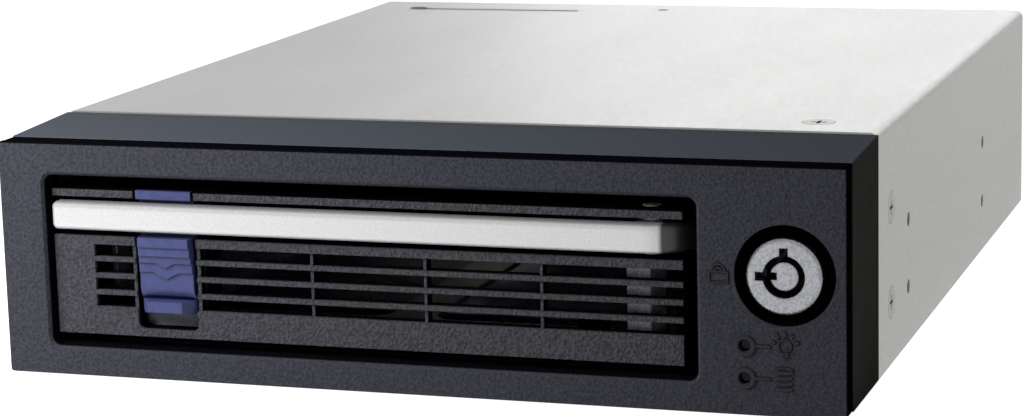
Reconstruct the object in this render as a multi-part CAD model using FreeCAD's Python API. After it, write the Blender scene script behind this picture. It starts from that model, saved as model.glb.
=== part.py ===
"""Removable-drive cage for a half-height 5.25-inch bay, as separate pieces, in millimetres.

+X is right, +Y runs back into the bay, +Z is up.  The origin is under the middle of the cage.
Depths called d are measured back from the front of the faceplate.
"""
import FreeCAD, Part
import math
import os

V = FreeCAD.Vector
AXIS_X, AXIS_Y, AXIS_Z = V(1, 0, 0), V(0, 1, 0), V(0, 0, 1)

# ---------------------------------------------------------------- driving dimensions
# the drive that the carrier holds; its width is what the bay leaves beside the lock
DRIVE_L, DRIVE_H = 147.0, 26.1
DRIVE_SIDE_HOLE_Z = 6.35             # above the drive's base
DRIVE_SIDE_HOLES = (28.5, 130.1)     # ahead of the drive's rear
DRIVE_BASE_HOLE_INSET = 3.175        # from the drive's side
DRIVE_BASE_HOLES = (41.28, 85.73)    # ahead of the drive's rear
DRIVE_HOLE_R = 1.9
DRIVE_SOCKET_OFFSET = 20.7           # socket's middle from the drive's centre line
DRIVE_HEADROOM, DRIVE_FRONT_GAP = 1.4, 0.4

# the bay and its standard screw holes
BAY_W = 146.0
BODY_H = 41.3
BAY_HOLE_D = 52.4                    # front pair of holes, behind the front face
BAY_HOLE_PITCH = 79.25
BAY_HOLE_ZS = (10.0, 21.84)
BAY_BASE_HOLE_INSET = 3.15            # from the bay's side
BAY_HOLE_R = 1.25
BAY_HOLE_BURR, BURR_WALL = 1.0, 0.8  # extruded rim that takes the thread

# sheet metal and screws
SHEET = 1.0
BEND_R = 1.5
EASE = 0.1                           # free fit between sheet pieces
SCREW_R = 1.5
SCREW_HEAD_R = 2.75
SMALL_SCREW_R = 1.2
SMALL_HEAD_R = 2.3
SMALL_HEAD_H = 1.4
CROSS_L, CROSS_W, CROSS_DEPTH = 2.6, 0.6, 0.8
SMALL_SCREW_L, FACE_SCREW_L = 6.0, 5.5
FIT = 0.05                           # radial running clearance
SEAT = 0.1                           # air between plastic pieces that don't bear on each other
OVER = 1.0                           # how far a cutting tool passes the surface it cuts
TAB_L, TAB_H, TAB_FRONT_D, TAB_GAP = 16.0, 9.0, 86.0, 3.0

# bezel
FACE_D = 5.5                         # faceplate's depth
BEZEL_D = 26.0                       # faceplate and collar together
BEZEL_RISE = 1.2                     # the face is lower than the body by this much
COVER_PROUD = 0.35                   # cover's front edge above the collar
LAND_START, LAND_DEPTH = 1.2, 0.15   # shallow rebate round the faceplate's edge
LEFT_FRAME = 8.2                     # left edge of the face to the window
LOCK_STRIP = 24.0                    # window to the right edge of the face
WINDOW_Z0, WINDOW_R = 5.0, 1.5
WINDOW_BEVEL = 0.6
FACE_CORNER_R = 0.5
COLLAR_WALL = 2.0
COLLAR_WEB = 2.5
TUNNEL_GROW, TUNNEL_WALL = 0.2, 1.5
TONGUE_L = 18.0                      # part of the collar inside the cover
COLLAR_SCREW_D = 37.0
COLLAR_SCREW_ZS = (10.7, 26.9)
TOP_SCREW_INSET, TOP_SCREW_D = 11.8, 35.0
BOSS, BOSS_H, BOSS_HOLE_L = 6.4, 5.0, 6.5

# carrier front
CARRIER_SETBACK = 1.8
CARRIER_D = 14.6
CARRIER_GAP_LEFT, CARRIER_GAP_RIGHT = 0.6, 2.6
CARRIER_GAP_BELOW, CARRIER_GAP_ABOVE = 1.9, 2.5
FRONT_WALL = 2.6
SIDE_WALL = 2.0
FLOOR_WALL = 1.8
TOP_BAR = 1.3
HANDLE_SLOT = 6.7
SHELF = 1.4
SLOT_BACK_D, SLOT_BACK_WALL = 6.0, 1.6
GRILLE_SLOTS = 4
GRILLE_SLOT_H, GRILLE_BAR = 2.08, 0.82
GRILLE_RISE = 4.86                   # lowest slot above the carrier's underside
GRILLE_LEFT_MARGIN = 7.4
GRILLE_RIB_W, GRILLE_RIB_PITCH, GRILLE_RIB_SET = 0.5, 19.95, 0.4
GRILLE_RIBS = 3
CHANNEL_RIB_W, CHANNEL_RIB_SET = 0.6, 0.4
CAM_ARM_L, CAM_ARM_H, CAM_ARM_WALL = 14.6, 10.4, 1.8

# latch
LATCH_W, CHANNEL_EASE = 10.1, 0.55
LATCH_INSET = 15.0                   # carrier's left end to the channel
LATCH_TRAVEL = 2.4
LATCH_PLATE_D, LATCH_PLATE_T = 3.2, 1.6
LATCH_WING, LATCH_WING_T = 0.8, 1.2
LATCH_RISE = 3.9                     # latch's lower end above the carrier's underside
LATCH_FACE_D, LATCH_LAP = 0.75, 0.3  # foremost lap, and each lap's step back
LATCH_LAPS = ((11.75, 0, 0), (10.2, 0, 0), (9.0, 0.9, 1.65), (7.35, 1.25, 2.3))
LATCH_DRAFT, LATCH_CORNER_R = 0.6, 1.2
LEDGE_D, LEDGE_H, LEDGE_BEVEL, LEDGE_BACK_D = 0.7, 2.7, 1.9, 3.0
LATCH_BROW = 4.9                     # where the pad starts to curve back over the ledge
LATCH_EYE_W, LATCH_EYE_H, LATCH_EYE_TOP = 6.0, 4.0, 1.2
CATCH_W, CATCH_H, CATCH_RISE = 3.2, 1.2, 0.3
CHANNEL_CORNER_R, CHANNEL_WALL = 1.3, 1.2
LATCH_LUG_W, LATCH_LUG_H, LATCH_LUG_RISE = 3.2, 2.0, 8.2
LATCH_TOP_GAP, LATCH_FOOT_GAP, LATCH_BACK_GAP = 0.3, 0.2, 0.6
LATCH_CAP_H, LATCH_CAP_T, LATCH_CAP_TONGUE = 1.5, 1.0, 0.7
SPRING_COIL_R, SPRING_WIRE_R, SPRING_TURNS, SPRING_CHORDS = 1.6, 0.28, 5, 12
SPRING_SEAT_RISE, SPRING_WALL, SPRING_AIR = 1.6, 1.6, 0.3

# handle and its pin
HANDLE_H, HANDLE_T = 4.8, 2.6
HANDLE_PROUD = 1.5                   # ahead of the carrier's face
HANDLE_LIFT = 0.15                   # above the middle of its slot
HANDLE_CORNER_R, HANDLE_TIP_R = 7.5, 1.0
HANDLE_REACH = 10.0                  # depth of the toe
TOE_W = 2.6
PIVOT_D = 6.5
PIVOT_INSET = 6.1                    # pivot to the carrier's right end
HEEL_PROUD = 1.5                     # heel beyond the carrier's right end
BARREL_R = 2.1
PIN_R, PIN_HEAD_R, PIN_HEAD_H, PIN_PROUD = 1.0, 1.6, 0.6, 0.15
PIN_FLOOR = 0.6                      # plastic left under the pin's foot
HINGE_BLOCK_REACH, HINGE_BLOCK_STEP = 4.0, 0.3
SWING_EASE = 0.2

# tray
TRAY_GAP = 0.5
TRAY_SIDE_GAP = 3.6                  # window's left edge to the tray
TRAY_RIGHT_GAP = 5.6
TRAY_UNDER = 0.2                     # air between tray and drive
TRAY_WALL_H, TRAY_BEND_R = 15.0, 0.8
TRAY_LIP = 4.0                       # floor ahead of the screws
TRAY_SCREW_D, TRAY_SCREW_L = 12.4, 5.4
TRAY_SCREW_INSETS = (8.0, 18.0)      # from the carrier's left and right ends
TRAY_BOSS_R, TRAY_BOSS_H = 2.6, 4.6
VENT_FRONT, VENT_BRIDGE, VENT_REAR, VENT_SIDE, VENT_R = 8.0, 9.0, 10.0, 10.0, 4.0
RUNNER_T, RUNNER_H, RUNNER_RISE = 1.8, 3.0, 10.2
RAIL_T, RAIL_H, RAIL_GAP = 3.6, 6.0, 0.5
GROOVE_EASE = 0.3
RAIL_FOOT_W, RAIL_FOOT_T, RAIL_FOOT_L = 8.0, 2.0, 14.0
RAIL_LEG_T, RAIL_SCREW_OUT = 2.0, 4.6
RAIL_FOOT_D, RAIL_FOOT_INSET = 66.0, 6.0
RAIL_LEFT_D, RAIL_RIGHT_D, RAIL_END_GAP = 27.0, 33.0, 3.8

# lock
LOCK_INSET, LOCK_Z = 9.7, 22.7
LOCK_RECESS_R, LOCK_RECESS_D = 8.15, 4.5
LOCK_R, LOCK_PROUD, LOCK_L = 6.1, 0.8, 22.0
LOCK_BORE_R, LOCK_POST_R, LOCK_CORE_R = 3.4, 2.25, 4.55
LOCK_MOUTH, LOCK_BEVEL = 8.5, 0.4
LOCK_NOTCH_W, LOCK_NOTCH_REACH, LOCK_NOTCH_D = 1.4, 4.6, 2.5
POST_NOTCH_W, POST_NOTCH_DEPTH, POST_PROUD = 1.2, 1.05, 0.3
LOCK_NUT_FLAT, LOCK_NUT_T = 14.4, 2.5
LOCK_TAIL_R, LOCK_SQUARE = 2.8, 3.6
CAM_D, CAM_T, CAM_L, CAM_W = 26.3, 2.0, 18.0, 6.0
CAM_HUB_R, CAM_TIP_R = 4.4, 1.5
CAM_NOTCH, CAM_NOTCH_H = 0.5, 16.0   # play of the cam in the carrier's notch

# indicators
LAMP_INSET = 16.2
LAMP_ZS = (11.3, 6.05)
LAMP_HOLE_R, LAMP_RIM_R, LAMP_RIM = 1.0, 1.75, 0.25
LAMP_BOARD_D, LAMP_BOARD_T = 20.0, 1.2
LAMP_BOARD_LEFT, LAMP_BOARD_TOP, LAMP_BOARD_GAP = 3.6, 3.2, 0.5
LAMP_SCREW_INSET, LAMP_SCREW_Z, LAMP_BOSS_R, LAMP_BOSS_HOLE = 7.0, 8.6, 2.6, 7.0
LAMP_W, LAMP_H, LAMP_T = 2.0, 1.4, 1.1
PIPE_SET, PIPE_GAP = 0.8, 0.3        # pipe behind the face, and ahead of the lamp

# backplane and rear
RECEPTACLE_GAP, RECEPTACLE_L, RECEPTACLE_W = 0.4, 6.8, 42.0
RECEPTACLE_RISE, RECEPTACLE_BASE_L = 3.5, 3.2
RECEPTACLE_BELOW, RECEPTACLE_ABOVE, RECEPTACLE_POST_W = 3.0, 4.5, 2.2
RECEPTACLE_POST_EASE = 1.0           # guide posts are this much lower than the base, above and below
TONGUE_T, TONGUE_SET, KEY_W, KEY_RISE = 1.2, 0.6, 1.2, 2.2
LONG_TONGUE, SHORT_TONGUE = (-16.5, 4.0), (6.4, 16.5)
BOARD_T, BOARD_Z0, BOARD_TOP_GAP = 1.6, 3.0, 2.3
BOARD_FAN_GAP, BOARD_RIGHT_GAP = 5.1, 5.0
BOARD_R, BOARD_HOLE_INSET, BOARD_HOLE_EASE = 1.0, 5.0, 0.3
STANDOFF_L, STANDOFF_R, STANDOFF_HOLE_L = 11.4, 2.5, 7.4
DATA_INSET, DATA_W, DATA_Z0, DATA_H, DATA_WALL = 14.0, 16.0, 22.0, 7.0, 1.2
DATA_TONGUE_INSET = 3.0
POWER_INSET, POWER_W, POWER_Z0, POWER_H, POWER_WALL = 42.0, 22.0, 20.0, 10.0, 1.0
POWER_BEVEL, POWER_PINS = 1.2, 4
POWER_PIN_R, POWER_PIN_PITCH, POWER_PIN_SET = 1.05, 5.08, 3.0
PLUG_FLOOR, PLUG_GAP, PLUG_SET = 3.0, 0.4, 1.2
FAN_MARGIN, FAN_T, FAN_LEFT_GAP = 3.15, 10.0, 7.9
FAN_RIM, FAN_HOLE_INSET, FAN_CORNER_R = 1.2, 3.0, 2.5
FAN_HUB_R, FAN_BLADES, BLADE_T, BLADE_PITCH, BLADE_CHORD = 8.2, 7, 1.0, 42, 12.0
FAN_SHAFT_R, FAN_TUBE_R, FAN_TUBE_D = 1.0, 2.6, 3.0
FAN_PLATE_T, FAN_STRUT_W, FAN_CUP_WALL, FAN_CUP_FLOOR = 1.4, 1.8, 1.1, 1.2
FAN_TIP_GAP, FAN_FRONT_GAP, FAN_BACK_GAP = 0.5, 0.5, 0.5
AIR_SLOT_W, AIR_SLOT_PITCH, AIR_SLOTS, AIR_RIB_W = 2.3, 3.5, 3, 2.0
REAR_FLANGE = 8.0
SLIT_LEFT, SLIT_REAR, SLIT_L, SLIT_W = 12.0, 12.0, 38.0, 1.3   # from the cover's left side and rear
SLIT_END_R, SLIT_END_OUT = 1.9, 1.4
DIMPLE_R, DIMPLE_X, DIMPLE_REAR, DIMPLE_DEPTH = 1.2, -4.5, 8.0, 0.3

# ---------------------------------------------------------------- places that follow from them
HALF_W = BAY_W / 2
INNER_W = HALF_W - SHEET - EASE
FACE_H = BODY_H - BEZEL_RISE
CARRIER_REAR_D = CARRIER_SETBACK + CARRIER_D
DRIVE_FRONT_D = CARRIER_REAR_D + DRIVE_FRONT_GAP
DRIVE_REAR_D = DRIVE_FRONT_D + DRIVE_L
BOARD_D = DRIVE_REAR_D + RECEPTACLE_GAP + RECEPTACLE_L
PANEL_D = BOARD_D + BOARD_T + STANDOFF_L
CAGE_D = PANEL_D + SHEET
FACE_Y = -(CAGE_D - LOCK_PROUD) / 2

WINDOW_X0, WINDOW_X1 = -HALF_W + LEFT_FRAME, HALF_W - LOCK_STRIP
TRAY_X0, TRAY_X1 = WINDOW_X0 + TRAY_SIDE_GAP, WINDOW_X1 - TRAY_RIGHT_GAP
DRIVE_W = TRAY_X1 - TRAY_X0 - 2 * (TRAY_GAP + SHEET)
DRIVE_X = (TRAY_X0 + TRAY_X1) / 2
TRAY_Z0 = WINDOW_Z0 + CARRIER_GAP_BELOW - SHEET - EASE
DRIVE_Z0 = TRAY_Z0 + SHEET + TRAY_UNDER
WINDOW_Z1 = DRIVE_Z0 + DRIVE_H + DRIVE_HEADROOM

CARRIER_X0, CARRIER_X1 = WINDOW_X0 + CARRIER_GAP_LEFT, WINDOW_X1 - CARRIER_GAP_RIGHT
CARRIER_Z0, CARRIER_Z1 = WINDOW_Z0 + CARRIER_GAP_BELOW, WINDOW_Z1 - CARRIER_GAP_ABOVE
SLOT_Z1 = CARRIER_Z1 - TOP_BAR
SLOT_Z0 = SLOT_Z1 - HANDLE_SLOT
CAVITY_Z0, CAVITY_Z1 = CARRIER_Z0 + FLOOR_WALL, SLOT_Z0 - SHELF
WALL_BACK_D = CARRIER_SETBACK + FRONT_WALL
GRILLE_Z0 = CARRIER_Z0 + GRILLE_RISE
GRILLE_PITCH = GRILLE_SLOT_H + GRILLE_BAR
GRILLE_Z1 = GRILLE_Z0 + GRILLE_SLOTS * GRILLE_PITCH - GRILLE_BAR

RUNNER_Z0 = TRAY_Z0 + RUNNER_RISE
RAIL_END_D = DRIVE_REAR_D - RAIL_END_GAP
RAIL_FOOT_DS = (RAIL_FOOT_D, RAIL_END_D - RAIL_FOOT_INSET - RAIL_FOOT_L)
TAB_DS = (TAB_FRONT_D, PANEL_D - REAR_FLANGE - TAB_GAP - TAB_L)

CHANNEL_X0 = CARRIER_X0 + LATCH_INSET
CHANNEL_X1 = CHANNEL_X0 + LATCH_W + 2 * CHANNEL_EASE
LATCH_X = (CHANNEL_X0 + CHANNEL_X1) / 2
LATCH_Z0, LATCH_Z1 = CARRIER_Z0 + LATCH_RISE, SLOT_Z1 - LATCH_TOP_GAP
CHANNEL_Z0 = LATCH_Z0 - LATCH_TRAVEL - LATCH_FOOT_GAP
LATCH_BACK_D = LATCH_PLATE_D + LATCH_PLATE_T
CHANNEL_D = LATCH_BACK_D + LATCH_BACK_GAP
LATCH_LUG_Z = LATCH_Z0 + LATCH_LUG_RISE
SPRING_SEAT_Z = CAVITY_Z0 + SPRING_SEAT_RISE
SPRING_D = CHANNEL_D + SPRING_WALL + SPRING_COIL_R + SPRING_WIRE_R + SPRING_AIR

HANDLE_Z0 = (SLOT_Z0 + SLOT_Z1) / 2 + HANDLE_LIFT - HANDLE_H / 2
HANDLE_Z1 = HANDLE_Z0 + HANDLE_H
HANDLE_D = CARRIER_SETBACK - HANDLE_PROUD
PIVOT_X = CARRIER_X1 - PIVOT_INSET
HEEL_X = CARRIER_X1 + HEEL_PROUD
SWING_R = math.hypot(HEEL_X - PIVOT_X, HANDLE_REACH - PIVOT_D) + SWING_EASE

LOCK_X = HALF_W - LOCK_INSET
LAMP_X = HALF_W - LAMP_INSET
LAMP_SCREW_X = HALF_W - LAMP_SCREW_INSET
TUNNEL_X0, TUNNEL_X1 = WINDOW_X0 - TUNNEL_GROW, WINDOW_X1 + TUNNEL_GROW
TUNNEL_Z0, TUNNEL_Z1 = WINDOW_Z0 - TUNNEL_GROW, WINDOW_Z1 + TUNNEL_GROW
FAN_SIZE = BODY_H - 2 * FAN_MARGIN
FAN_BORE_R = FAN_SIZE / 2 - FAN_RIM
FAN_X, FAN_Z = -HALF_W + FAN_LEFT_GAP + FAN_SIZE / 2, BODY_H / 2
FAN_D = PANEL_D - FAN_T
BOARD_X0, BOARD_X1 = FAN_X + FAN_SIZE / 2 + BOARD_FAN_GAP, HALF_W - BOARD_RIGHT_GAP
BOARD_Z1 = BODY_H - SHEET - BOARD_TOP_GAP
BOARD_BACK_D = BOARD_D + BOARD_T
RECEPTACLE_X = DRIVE_X + DRIVE_SOCKET_OFFSET
DATA_BOX = (BOARD_X0 + DATA_INSET, BOARD_X0 + DATA_INSET + DATA_W, DATA_Z0, DATA_Z0 + DATA_H)
POWER_BOX = (BOARD_X0 + POWER_INSET, BOARD_X0 + POWER_INSET + POWER_W, POWER_Z0, POWER_Z0 + POWER_H)


# ---------------------------------------------------------------- shape helpers
def at(x, d, z):
    """Point at depth d behind the front face."""
    return V(x, FACE_Y + d, z)


def block(x0, x1, d0, d1, z0, z1):
    """Box between two X, two depths and two heights."""
    return Part.makeBox(x1 - x0, d1 - d0, z1 - z0, at(x0, d0, z0))


def rod(radius, x, d, z, axis, length):
    """Cylinder from a point, along an axis."""
    return Part.makeCylinder(radius, length, at(x, d, z), axis)


def cone(radius_0, radius_1, start, axis, length):
    """Cone frustum from a point, along an axis."""
    return Part.makeCone(radius_0, radius_1, length, start, axis)


def edges_along(shape, axis, keep=lambda point: True):
    """Straight edges parallel to an axis whose middle passes the test."""
    found = []
    for edge in shape.Edges:
        if isinstance(edge.Curve, Part.Line):
            run = edge.tangentAt(edge.FirstParameter)
            if abs(run.dot(axis)) > 0.999 and keep(edge.CenterOfMass):
                found.append(edge)
    return found


def rounded(shape, radius, axis, keep=lambda point: True):
    """The shape with its edges along an axis rounded."""
    return shape.makeFillet(radius, edges_along(shape, axis, keep))


def prism(points, thickness):
    """Closed outline of points, extruded by a vector."""
    return Part.Face(Part.makePolygon(points + points[:1])).extrude(thickness)


def fused(shapes):
    """One solid from touching shapes."""
    joined = shapes[0].multiFuse(shapes[1:]) if len(shapes) > 1 else shapes[0]
    return joined.removeSplitter()


def cut(shape, tools):
    """The shape less every tool."""
    return shape.cut(Part.makeCompound(tools))


def hexagon(across_flats, x, d, z, length):
    """Hexagonal prism along +Y with two flats facing left and right."""
    corner = across_flats / math.sqrt(3)
    turns = [math.radians(90 + 60 * i) for i in range(6)]
    points = [at(x + corner * math.cos(a), d, z + corner * math.sin(a)) for a in turns]
    return prism(points, V(0, length, 0))


def cross_recess(start, axis):
    """Cross-shaped driver recess, sunk along the axis from a screw's head."""
    arms = []
    for long_x, long_y in ((CROSS_L, CROSS_W), (CROSS_W, CROSS_L)):
        arm = Part.makeBox(long_x, long_y, 2 * CROSS_DEPTH, V(-long_x / 2, -long_y / 2, -CROSS_DEPTH))
        arm.Placement = FreeCAD.Placement(start, FreeCAD.Rotation(AXIS_Z, axis))
        arms.append(arm)
    return arms[0].fuse(arms[1])


def flat_screw(x, d, z, axis, length):
    """Countersunk screw whose flush head starts at the point and which runs along the axis."""
    head_h = SCREW_HEAD_R - SCREW_R
    start = at(x, d, z)
    shank = Part.makeCylinder(SCREW_R, length, start, axis)
    screw = fused([cone(SCREW_HEAD_R, SCREW_R, start, axis, head_h), shank])
    return screw.cut(cross_recess(start, axis))


def pan_screw(x, d, z, axis, length, radius=SMALL_SCREW_R):
    """Pan-head screw: the shank runs along the axis from the head's seat at the point."""
    start = at(x, d, z)
    head_start = start - axis * SMALL_HEAD_H
    head = Part.makeCylinder(SMALL_HEAD_R, SMALL_HEAD_H, head_start, axis)
    screw = fused([head, Part.makeCylinder(radius, length, start, axis)])
    return screw.cut(cross_recess(head_start, axis))


# ---------------------------------------------------------------- cage: sheet metal
def collar_screw_places():
    """Point and inward axis of each screw that holds the cover to the collar."""
    places = []
    for z in COLLAR_SCREW_ZS:
        places.append((-HALF_W, COLLAR_SCREW_D, z, AXIS_X))
        places.append((HALF_W, COLLAR_SCREW_D, z, -AXIS_X))
    places.append((HALF_W - TOP_SCREW_INSET, TOP_SCREW_D, BODY_H, -AXIS_Z))
    return places


def shell_cover():
    """Inverted U of sheet with burred bay holes, countersinks and a slit over the fan."""
    def top(point):
        return point.z > BODY_H / 2

    outer = rounded(block(-HALF_W, HALF_W, BEZEL_D, CAGE_D, 0, BODY_H), BEND_R, AXIS_Y, top)
    inner_x, inner_z = HALF_W - SHEET, BODY_H - SHEET
    inner = block(-inner_x, inner_x, BEZEL_D - OVER, CAGE_D + OVER, -OVER, inner_z)
    cover = outer.cut(rounded(inner, BEND_R - SHEET, AXIS_Y, top))

    rims, holes = [], []
    for side in (-1, 1):
        for d in (BAY_HOLE_D, BAY_HOLE_D + BAY_HOLE_PITCH):
            for z in BAY_HOLE_ZS:
                inward = V(-side, 0, 0)
                rims.append(rod(BAY_HOLE_R + BURR_WALL, side * (inner_x + SHEET / 2), d, z, inward,
                                SHEET / 2 + BAY_HOLE_BURR))
                holes.append(rod(BAY_HOLE_R, side * (HALF_W + OVER), d, z, inward,
                                 2 * OVER + SHEET + BAY_HOLE_BURR))
    sink = SCREW_HEAD_R + EASE
    for x, d, z, axis in collar_screw_places():
        holes.append(cone(sink, sink - SHEET, at(x, d, z), axis, SHEET))
    slit_x, slit_d, low_z = SLIT_LEFT - HALF_W, CAGE_D - SLIT_REAR, inner_z - OVER
    holes.append(block(slit_x, slit_x + SLIT_L, slit_d - SLIT_W / 2, slit_d + SLIT_W / 2, low_z,
                       BODY_H + OVER))
    holes.append(rod(SLIT_END_R, slit_x, slit_d + SLIT_END_OUT, low_z, AXIS_Z, SHEET + 2 * OVER))
    dimple = rod(DIMPLE_R, DIMPLE_X, CAGE_D - DIMPLE_REAR, BODY_H - DIMPLE_DEPTH, AXIS_Z, OVER)
    return cut(cover.multiFuse(rims), holes + [dimple])


def bottom_plate():
    """Flat floor with upturned side tabs, burred bay holes and countersinks for the rail screws."""
    plate = block(-INNER_W, INNER_W, BEZEL_D, CAGE_D, 0, SHEET)
    tabs, holes = [], []
    for side in (-1, 1):
        x = side * INNER_W
        for d in TAB_DS:
            tabs.append(block(min(x, x - side * SHEET), max(x, x - side * SHEET), d, d + TAB_L, 0, TAB_H))
        for d in (BAY_HOLE_D, BAY_HOLE_D + BAY_HOLE_PITCH):
            hole_x = side * (HALF_W - BAY_BASE_HOLE_INSET)
            tabs.append(rod(BAY_HOLE_R + BURR_WALL, hole_x, d, SHEET / 2, AXIS_Z,
                            SHEET / 2 + BAY_HOLE_BURR))
            holes.append(rod(BAY_HOLE_R, hole_x, d, -OVER, AXIS_Z, 2 * OVER + SHEET + BAY_HOLE_BURR))
    sink = SCREW_HEAD_R + EASE
    for x, d in rail_screw_places():
        holes.append(cone(sink, sink - SHEET, at(x, d, 0), AXIS_Z, SHEET))
    return cut(plate.multiFuse(tabs), holes)


def fan_ring_slots():
    """Ring-shaped air slots in front of the fan, left joined by four ribs."""
    slots = []
    start_d, length = PANEL_D - OVER, SHEET + 2 * OVER
    for i in range(AIR_SLOTS):
        outer_r = FAN_BORE_R - SHEET - i * AIR_SLOT_PITCH
        ring = rod(outer_r, FAN_X, start_d, FAN_Z, AXIS_Y, length)
        slots.append(ring.cut(rod(outer_r - AIR_SLOT_W, FAN_X, start_d, FAN_Z, AXIS_Y, length)))
    ribs = []
    for turn in (45, 135):
        rib = block(FAN_X - FAN_BORE_R, FAN_X + FAN_BORE_R, start_d - OVER, CAGE_D + 2 * OVER,
                    FAN_Z - AIR_RIB_W / 2, FAN_Z + AIR_RIB_W / 2)
        rib.rotate(at(FAN_X, 0, FAN_Z), AXIS_Y, turn)
        ribs.append(rib)
    return Part.makeCompound(slots).cut(Part.makeCompound(ribs))


def rear_panel():
    """Back sheet with bent flanges, the fan's air slots and openings for the two plugs."""
    top_z, low_z = BODY_H - SHEET - EASE, SHEET + EASE
    panel = block(-INNER_W, INNER_W, PANEL_D, CAGE_D, low_z, top_z)
    panel = rounded(panel, BEND_R, AXIS_Y, lambda p: p.z > BODY_H / 2)
    flange_d = PANEL_D - REAR_FLANGE
    flanges = [
        block(-INNER_W, SHEET - INNER_W, flange_d, PANEL_D, low_z, top_z - BEND_R - SHEET / 2),
        block(INNER_W - SHEET, INNER_W, flange_d, PANEL_D, low_z, top_z - BEND_R - SHEET / 2),
        block(SHEET - INNER_W, INNER_W - SHEET, flange_d, PANEL_D, low_z, low_z + SHEET),
    ]
    holes = [fan_ring_slots()]
    for x, z in fan_hole_places():
        holes.append(rod(SCREW_R + FIT, x, PANEL_D - OVER, z, AXIS_Y, SHEET + 2 * OVER))
    for x0, x1, z0, z1 in (DATA_BOX, POWER_BOX):
        holes.append(block(x0 - PLUG_GAP, x1 + PLUG_GAP, PANEL_D - OVER, CAGE_D + OVER, z0 - PLUG_GAP,
                           z1 + PLUG_GAP))
    return cut(panel.multiFuse(flanges), holes)


# ---------------------------------------------------------------- cage: bezel
def window(d0, d1):
    """Round-cornered opening for the carrier."""
    return rounded(block(WINDOW_X0, WINDOW_X1, d0, d1, WINDOW_Z0, WINDOW_Z1), WINDOW_R, AXIS_Y)


def faceplate():
    """Front frame with bevelled window, lock recess, indicator rims and the rebate round its edge."""
    plate = block(-HALF_W, HALF_W, 0, FACE_D, 0, FACE_H)
    plate = rounded(plate, FACE_CORNER_R, AXIS_Y)
    band = block(-HALF_W - OVER, HALF_W + OVER, LAND_START, FACE_D, -OVER, FACE_H + OVER)
    inner = LAND_DEPTH
    band = band.cut(block(inner - HALF_W, HALF_W - inner, 0, FACE_D + OVER, 0, FACE_H - inner))
    bevel_x0, bevel_x1 = WINDOW_X0 - WINDOW_BEVEL, WINDOW_X1 + WINDOW_BEVEL
    front_ring = block(bevel_x0, bevel_x1, 0, OVER, WINDOW_Z0 - WINDOW_BEVEL, WINDOW_Z1 + WINDOW_BEVEL)
    front_ring = rounded(front_ring, WINDOW_R + WINDOW_BEVEL, AXIS_Y)
    back_ring = window(WINDOW_BEVEL, WINDOW_BEVEL + OVER)
    wires = [face.OuterWire for ring, y in ((front_ring, 0.0), (back_ring, WINDOW_BEVEL))
             for face in ring.Faces if abs(face.CenterOfMass.y - FACE_Y - y) < 1e-4]
    bevel = Part.makeLoft(wires, True, True)
    tools = [band, window(-OVER, FACE_D + OVER), bevel,
             rod(LOCK_RECESS_R, LOCK_X, -OVER, LOCK_Z, AXIS_Y, LOCK_RECESS_D + OVER),
             rod(LOCK_R + FIT, LOCK_X, -OVER, LOCK_Z, AXIS_Y, FACE_D + 2 * OVER)]
    rims = []
    for z in LAMP_ZS:
        rims.append(rod(LAMP_RIM_R, LAMP_X, -LAMP_RIM, z, AXIS_Y, 2 * LAMP_RIM))
        tools.append(rod(LAMP_HOLE_R, LAMP_X, -OVER, z, AXIS_Y, FACE_D + 2 * OVER))
    return cut(plate.multiFuse(rims), tools)


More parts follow.
